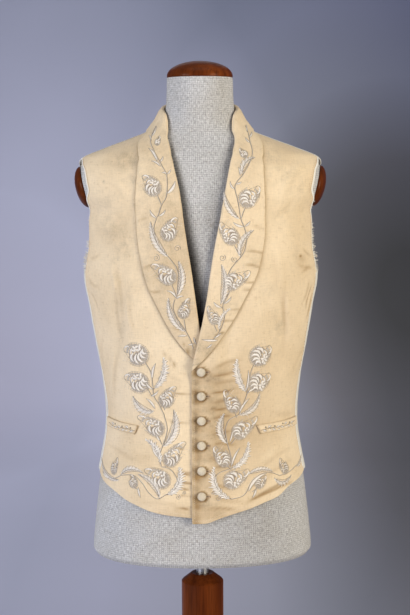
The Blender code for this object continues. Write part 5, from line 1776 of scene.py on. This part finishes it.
def sew(side, front_tree, back_tree):
    """Armhole and side seams, hem stitches, and the buttonholes on the lap."""
    work, behind = Stitches(), Stitches()
    for inset, low, high, *stitch in ARMHOLE_DASHES[side]:
        dashes(work, edge_line(inset, low, high), *stitch)
    inset, low, high, *strip = ARMHOLE_ROLL[side]
    work.strand(edge_line(inset, low, high), *strip)
    seam = upright(SIDE_SEAM_ANGLE, np.linspace(0.889, 1.212, 90))
    inset, half, stitch_inset, shoulder_half = SIDE_ROLL[side]
    work.strand(seam - (inset, 0), half, 0.5, 1.0)
    dashes(work, seam - (stitch_inset, 0), 3.2, 2.6, 0.40, 0.30, 0.50)
    behind.strand(seam + (1.3, 0), 1.0, 0.35, 0.97)
    for k in range(30 if side == "left" else 0):
        z = 1052 + k * 5.2
        u = float(np.interp(z, seam[:, 1], seam[:, 0])) - 9.5 + 1.2 * math.sin(k * 1.9)
        reach = 2.6 + 1.4 * math.sin(k * 2.7)
        line = bezier((u - reach, z + 0.8), (u + reach, z - 0.6), 0.3, 4)
        work.strand(line, 0.36, 0.35, 0.46 if k % 3 else 0.20)
    x = np.linspace(-0.010, 0.165, 90)
    hem_z = front_hem(side, x) * 1000 + 4.5
    hem = np.stack([arc_at(angle_at(x, hem_z / 1000), hem_z / 1000) * 1000, hem_z], -1)
    dashes(work, hem, 3.4, *HEM_STITCH)
    seam_top = float(np.interp(SHOULDER_SEAM_ANGLE, *neckline(side)))
    ridge = upright(SHOULDER_SEAM_ANGLE, np.linspace(SHOULDER_TIP + 0.001, seam_top - 0.006, 50))
    work.strand(ridge - (2.4, 0), shoulder_half, 0.35, 1.0)
    work.strand(ridge - (5.6, 0), 0.42, 0.30, 0.30)
    if side == "left":
        lap = np.stack([np.full(80, -11.5), np.linspace(826, 1052, 80)], -1)
        dashes(work, lap, 3.0, 2.0, *HEM_STITCH[1:])
        for height, _ in BUTTONS:
            buttonhole(work, height * 1000 - 0.6)
    sewn = work.build(f"stitching_{side}", front_tree, side, THREAD)
    return sewn, behind.build(f"seam_edge_{side}", back_tree, side, THREAD)


FRAYS = {
    # height, threads, reach in mm
    "right": (
        (1.259, 22, 6.0),
        (1.246, 14, 4.0),
        (1.236, 34, 7.0),
        (1.228, 30, 7.0),
        (1.300, 8, 3.0),
        (1.390, 12, 4.0),
        (1.214, 12, 5.0),
    ),
    "left": (
        (1.286, 20, 5.0),
        (1.272, 16, 6.0),
        (1.258, 16, 6.0),
        (1.244, 20, 7.0),
        (1.232, 14, 6.0),
        (1.320, 10, 3.5),
        (1.216, 12, 6.0),
        (1.385, 6, 4.0),
    ),
}
FRAY_SEEDS = {"right": 11, "left": 7}
FRAY_STEPS = 5


def loose_thread(rng, side, z, reach, points, faces):
    """Add one three-sided thread that leaves the armhole's edge and curls."""
    angle = float(armhole(np.array([z]))[0][0])
    start = panel_point("front", side, np.array([angle]), np.array([z]), np.array([-0.0008]))[0]
    tangent = unit(skin(angle + 1, z) - skin(angle - 1, z))
    tangent[0] *= SIDES[side]
    normal = skin_normal(np.array(angle), np.array(z))
    normal[0] *= SIDES[side]
    length = reach * 0.001 * rng.uniform(0.4, 1.2)
    heading = tangent * rng.uniform(-0.3, 0.4) + normal * rng.uniform(0.6, 1.3)
    heading = unit(heading + np.array((0, 0, rng.normal(-0.1, 0.6))))
    curl = unit(rng.normal(0, 1, 3))
    place, previous = start - tangent * 0.0012, None
    radius = rng.uniform(0.00035, 0.00080)
    for k in range(FRAY_STEPS + 1):
        across = unit(np.cross(heading, (0.3, 0.5, 0.8)))
        other = np.cross(heading, across)
        first = len(points)
        for turn in map(math.radians, (0, 120, 240)):
            out = across * math.cos(turn) + other * math.sin(turn)
            points.append(place + out * radius * (1.0 - 0.12 * k))
        if previous is None:
            faces.append((first + 2, first + 1, first))
        else:
            pairs = ((0, 1), (1, 2), (2, 0))
            faces += [(previous + j, previous + n, first + n, first + j) for j, n in pairs]
        previous = first
        place = place + heading * length / FRAY_STEPS
        heading = unit(heading + curl * rng.uniform(0.1, 0.5) + rng.normal(0, 0.15, 3))
    faces.append((previous, previous + 1, previous + 2))


def fray(side):
    """Loose threads at the armhole's worn edge."""
    rng = np.random.default_rng(FRAY_SEEDS[side])
    points, faces = [], []
    for height, count, reach in FRAYS[side]:
        for _ in range(count):
            loose_thread(rng, side, height + rng.normal(0, 0.0045), reach, points, faces)
    count = len(points)
    values = {"tint": np.full(count, 0.98)}
    return ride(make_object(f"fray_{side}", points, faces, THREAD, np.zeros((count, 2)), values))


# ---------------------------------------------------------------- stand
def make_stand():
    for name, material in (("column", WOOD), ("base", WOOD), ("spindle", STEEL)):
        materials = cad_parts[name].data.materials
        materials.clear()
        materials.append(material)


# ---------------------------------------------------------------- room, lights and camera
ROOM_WIDTH, ROOM_NEAR, BEND_FROM, BEND_RADIUS, ROOM_TOP = 18.0, -9.0, 4.6, 3.0, 9.0
ROOM_LIGHT_POOLS = (
    # painted pools of light and shade: centre of the pool, scale along each axis, and colours by the scaled
    # distance
    (
        (-1.523, 6.6, -1.909),
        (0.251, 0.087, 0.129),
        (
            (0.1, (0.437, 0.386, 0.432)),
            (0.4, (0.536, 0.528, 0.636)),
            (0.7, (0.190, 0.199, 0.255)),
            (1.0, (0.096, 0.103, 0.161)),
        ),
    ),
    (
        (1.318, 6.6, 0.534),
        (0.499, 0.0, 0.426),
        (
            (0.10, (0.271, 0.253, 0.202)),
            (0.35, (0.529, 0.497, 0.438)),
            (0.60, (1.0, 1.0, 0.98)),
            (0.85, (0.932, 0.946, 1.0)),
            (1.00, (0.778, 0.807, 0.864)),
        ),
    ),
)
ROOM_EVEN = (
    # share of the way back over EVEN_DEPTH from y = EVEN_FROM, and the tone there, painted shade that evens
    # out the lamps
    (0.0, 1.0),
    (0.357, 0.84),
    (0.571, 0.87),
    (0.750, 0.80),
    (0.893, 0.69),
    (0.982, 0.73),
    (1.0, 0.79),
)
EVEN_FROM, EVEN_DEPTH = 2.0, 5.6


def room_profile():
    """Places (y, z) along the floor, round the bend and up the wall."""
    turns = [math.radians(degrees) for degrees in range(6, 91, 6)]
    bend = [(BEND_FROM + BEND_RADIUS * math.sin(t), BEND_RADIUS - BEND_RADIUS * math.cos(t)) for t in turns]
    return [(ROOM_NEAR, 0.0), (BEND_FROM, 0.0), *bend, (BEND_FROM + BEND_RADIUS, ROOM_TOP)]


def make_room():
    profile = room_profile()
    points = [(x, y, z) for y, z in profile for x in (-ROOM_WIDTH / 2, ROOM_WIDTH / 2)]
    faces = [(2 * k, 2 * k + 1, 2 * k + 3, 2 * k + 2) for k in range(len(profile) - 1)]
    material, shader, add, join = nodes_of("pale_floor")
    solid = add("ShaderNodeTexCoord").outputs["Object"]

    def light_pool(place, scale, stops):
        shift = [-p * s for p, s in zip(place, scale)]
        moved = add("ShaderNodeMapping", {"Vector": solid, "Location": shift, "Scale": scale})
        distance = add("ShaderNodeVectorMath", {0: moved.outputs["Vector"]}, operation="LENGTH")
        return ramp_node(add, distance.outputs["Value"], *stops)

    def times(first, second):
        return blend_colours(add, "MULTIPLY", 1.0, first, second)

    # Painted light on the floor and wall: pools of brighter and darker tone, then painted shade by depth.
    tone = times(*(light_pool(*row) for row in ROOM_LIGHT_POOLS))
    depth = maths(add, "SUBTRACT", add("ShaderNodeSeparateXYZ", {0: solid}).outputs["Y"], EVEN_FROM)
    depth = maths(add, "MULTIPLY", depth, 1 / EVEN_DEPTH)
    tone = times(tone, ramp_node(add, depth, *((place, grey(level)) for place, level in ROOM_EVEN)))
    tone = blend_colours(add, "ADD", 1.0, tone, tone)
    mottle = ramp_node(add, noise(add, solid, 1.2, 2.0), (0.3, grey(0.97)), (0.7, grey(1.0)))
    join(times(tone, mottle), "Base Color")
    shader.inputs["Roughness"].default_value = 0.9
    floor = make_object("floor", points, faces, material)
    for polygon in floor.data.polygons:
        polygon.use_smooth = True


def area_light(name, place, target, size, power, colour):
    data = bpy.data.lights.new(name, "AREA")
    data.shape, data.size, data.size_y = "RECTANGLE", size[0], size[1]
    data.energy, data.color = power, colour
    light = bpy.data.objects.new(name, data)
    light.location = place
    light.rotation_euler = (Vector(target) - Vector(place)).to_track_quat("-Z", "Y").to_euler()
    bpy.context.scene.collection.objects.link(light)


LIGHTS = (
    # name, place, target, (width, height), power, colour
    ("key_left", (-2.3, -1.9, 1.40), (0, 0, 1.10), (1.2, 1.9), 75, (0.94, 0.955, 1.0)),
    ("key_right", (2.3, -1.9, 1.40), (0, 0, 1.10), (1.2, 1.9), 84, (1.0, 0.925, 0.775)),
    ("top", (0.0, -0.4, 3.3), (0, 0, 1.2), (1.6, 1.2), 7, (1.0, 0.99, 0.97)),
    ("back_wash", (0.0, 5.2, 4.2), (0, 6.3, 0.4), (4.0, 1.2), 60, (0.98, 0.985, 1.0)),
)
WORLD_COLOUR, WORLD_STRENGTH = (0.80, 0.83, 0.90, 1), 0.26


def make_lights():
    for row in LIGHTS:
        area_light(*row)
    world = bpy.data.worlds.new("studio")
    world.use_nodes = True
    background = world.node_tree.nodes["Background"].inputs
    background["Color"].default_value, background["Strength"].default_value = WORLD_COLOUR, WORLD_STRENGTH
    bpy.context.scene.world = world
    bpy.context.scene.view_settings.view_transform = "Standard"


LENS, CAMERA_PLACE, CAMERA_DOWN, CAMERA_ROLL = 80.0, (0.00663, -2.266, 1.404), 6.38, -0.3


def make_camera():
    data = bpy.data.cameras.new("camera")
    data.lens, data.sensor_width, data.sensor_fit = LENS, 36.0, "AUTO"
    camera = bpy.data.objects.new("camera", data)
    camera.location = CAMERA_PLACE
    camera.rotation_euler = (math.radians(90 - CAMERA_DOWN), 0, 0)
    camera.rotation_euler.rotate_axis("Z", math.radians(CAMERA_ROLL))
    bpy.context.scene.collection.objects.link(camera)
    bpy.context.scene.camera = camera


# ---------------------------------------------------------------- the whole
def main():
    make_torso()
    make_caps()
    make_stand()
    for side in SIDES:
        front, back, collar, welt = make_front(side), make_back(side), make_collar(side), make_welt(side)
        front_tree, collar_tree, welt_tree, back_tree = map(surface_tree, (front, collar, welt, back))
        on_collar = embroider("lapel_" + side, collar_tree, side)
        on_front = embroider("front_" + side, front_tree, side)
        on_welt = embroider_welt(side, welt_tree)
        stitching, seam_edge = sew(side, front_tree, back_tree)
        loose = fray(side)
    make_buttons()
    make_room()
    make_lights()
    make_camera()


main()
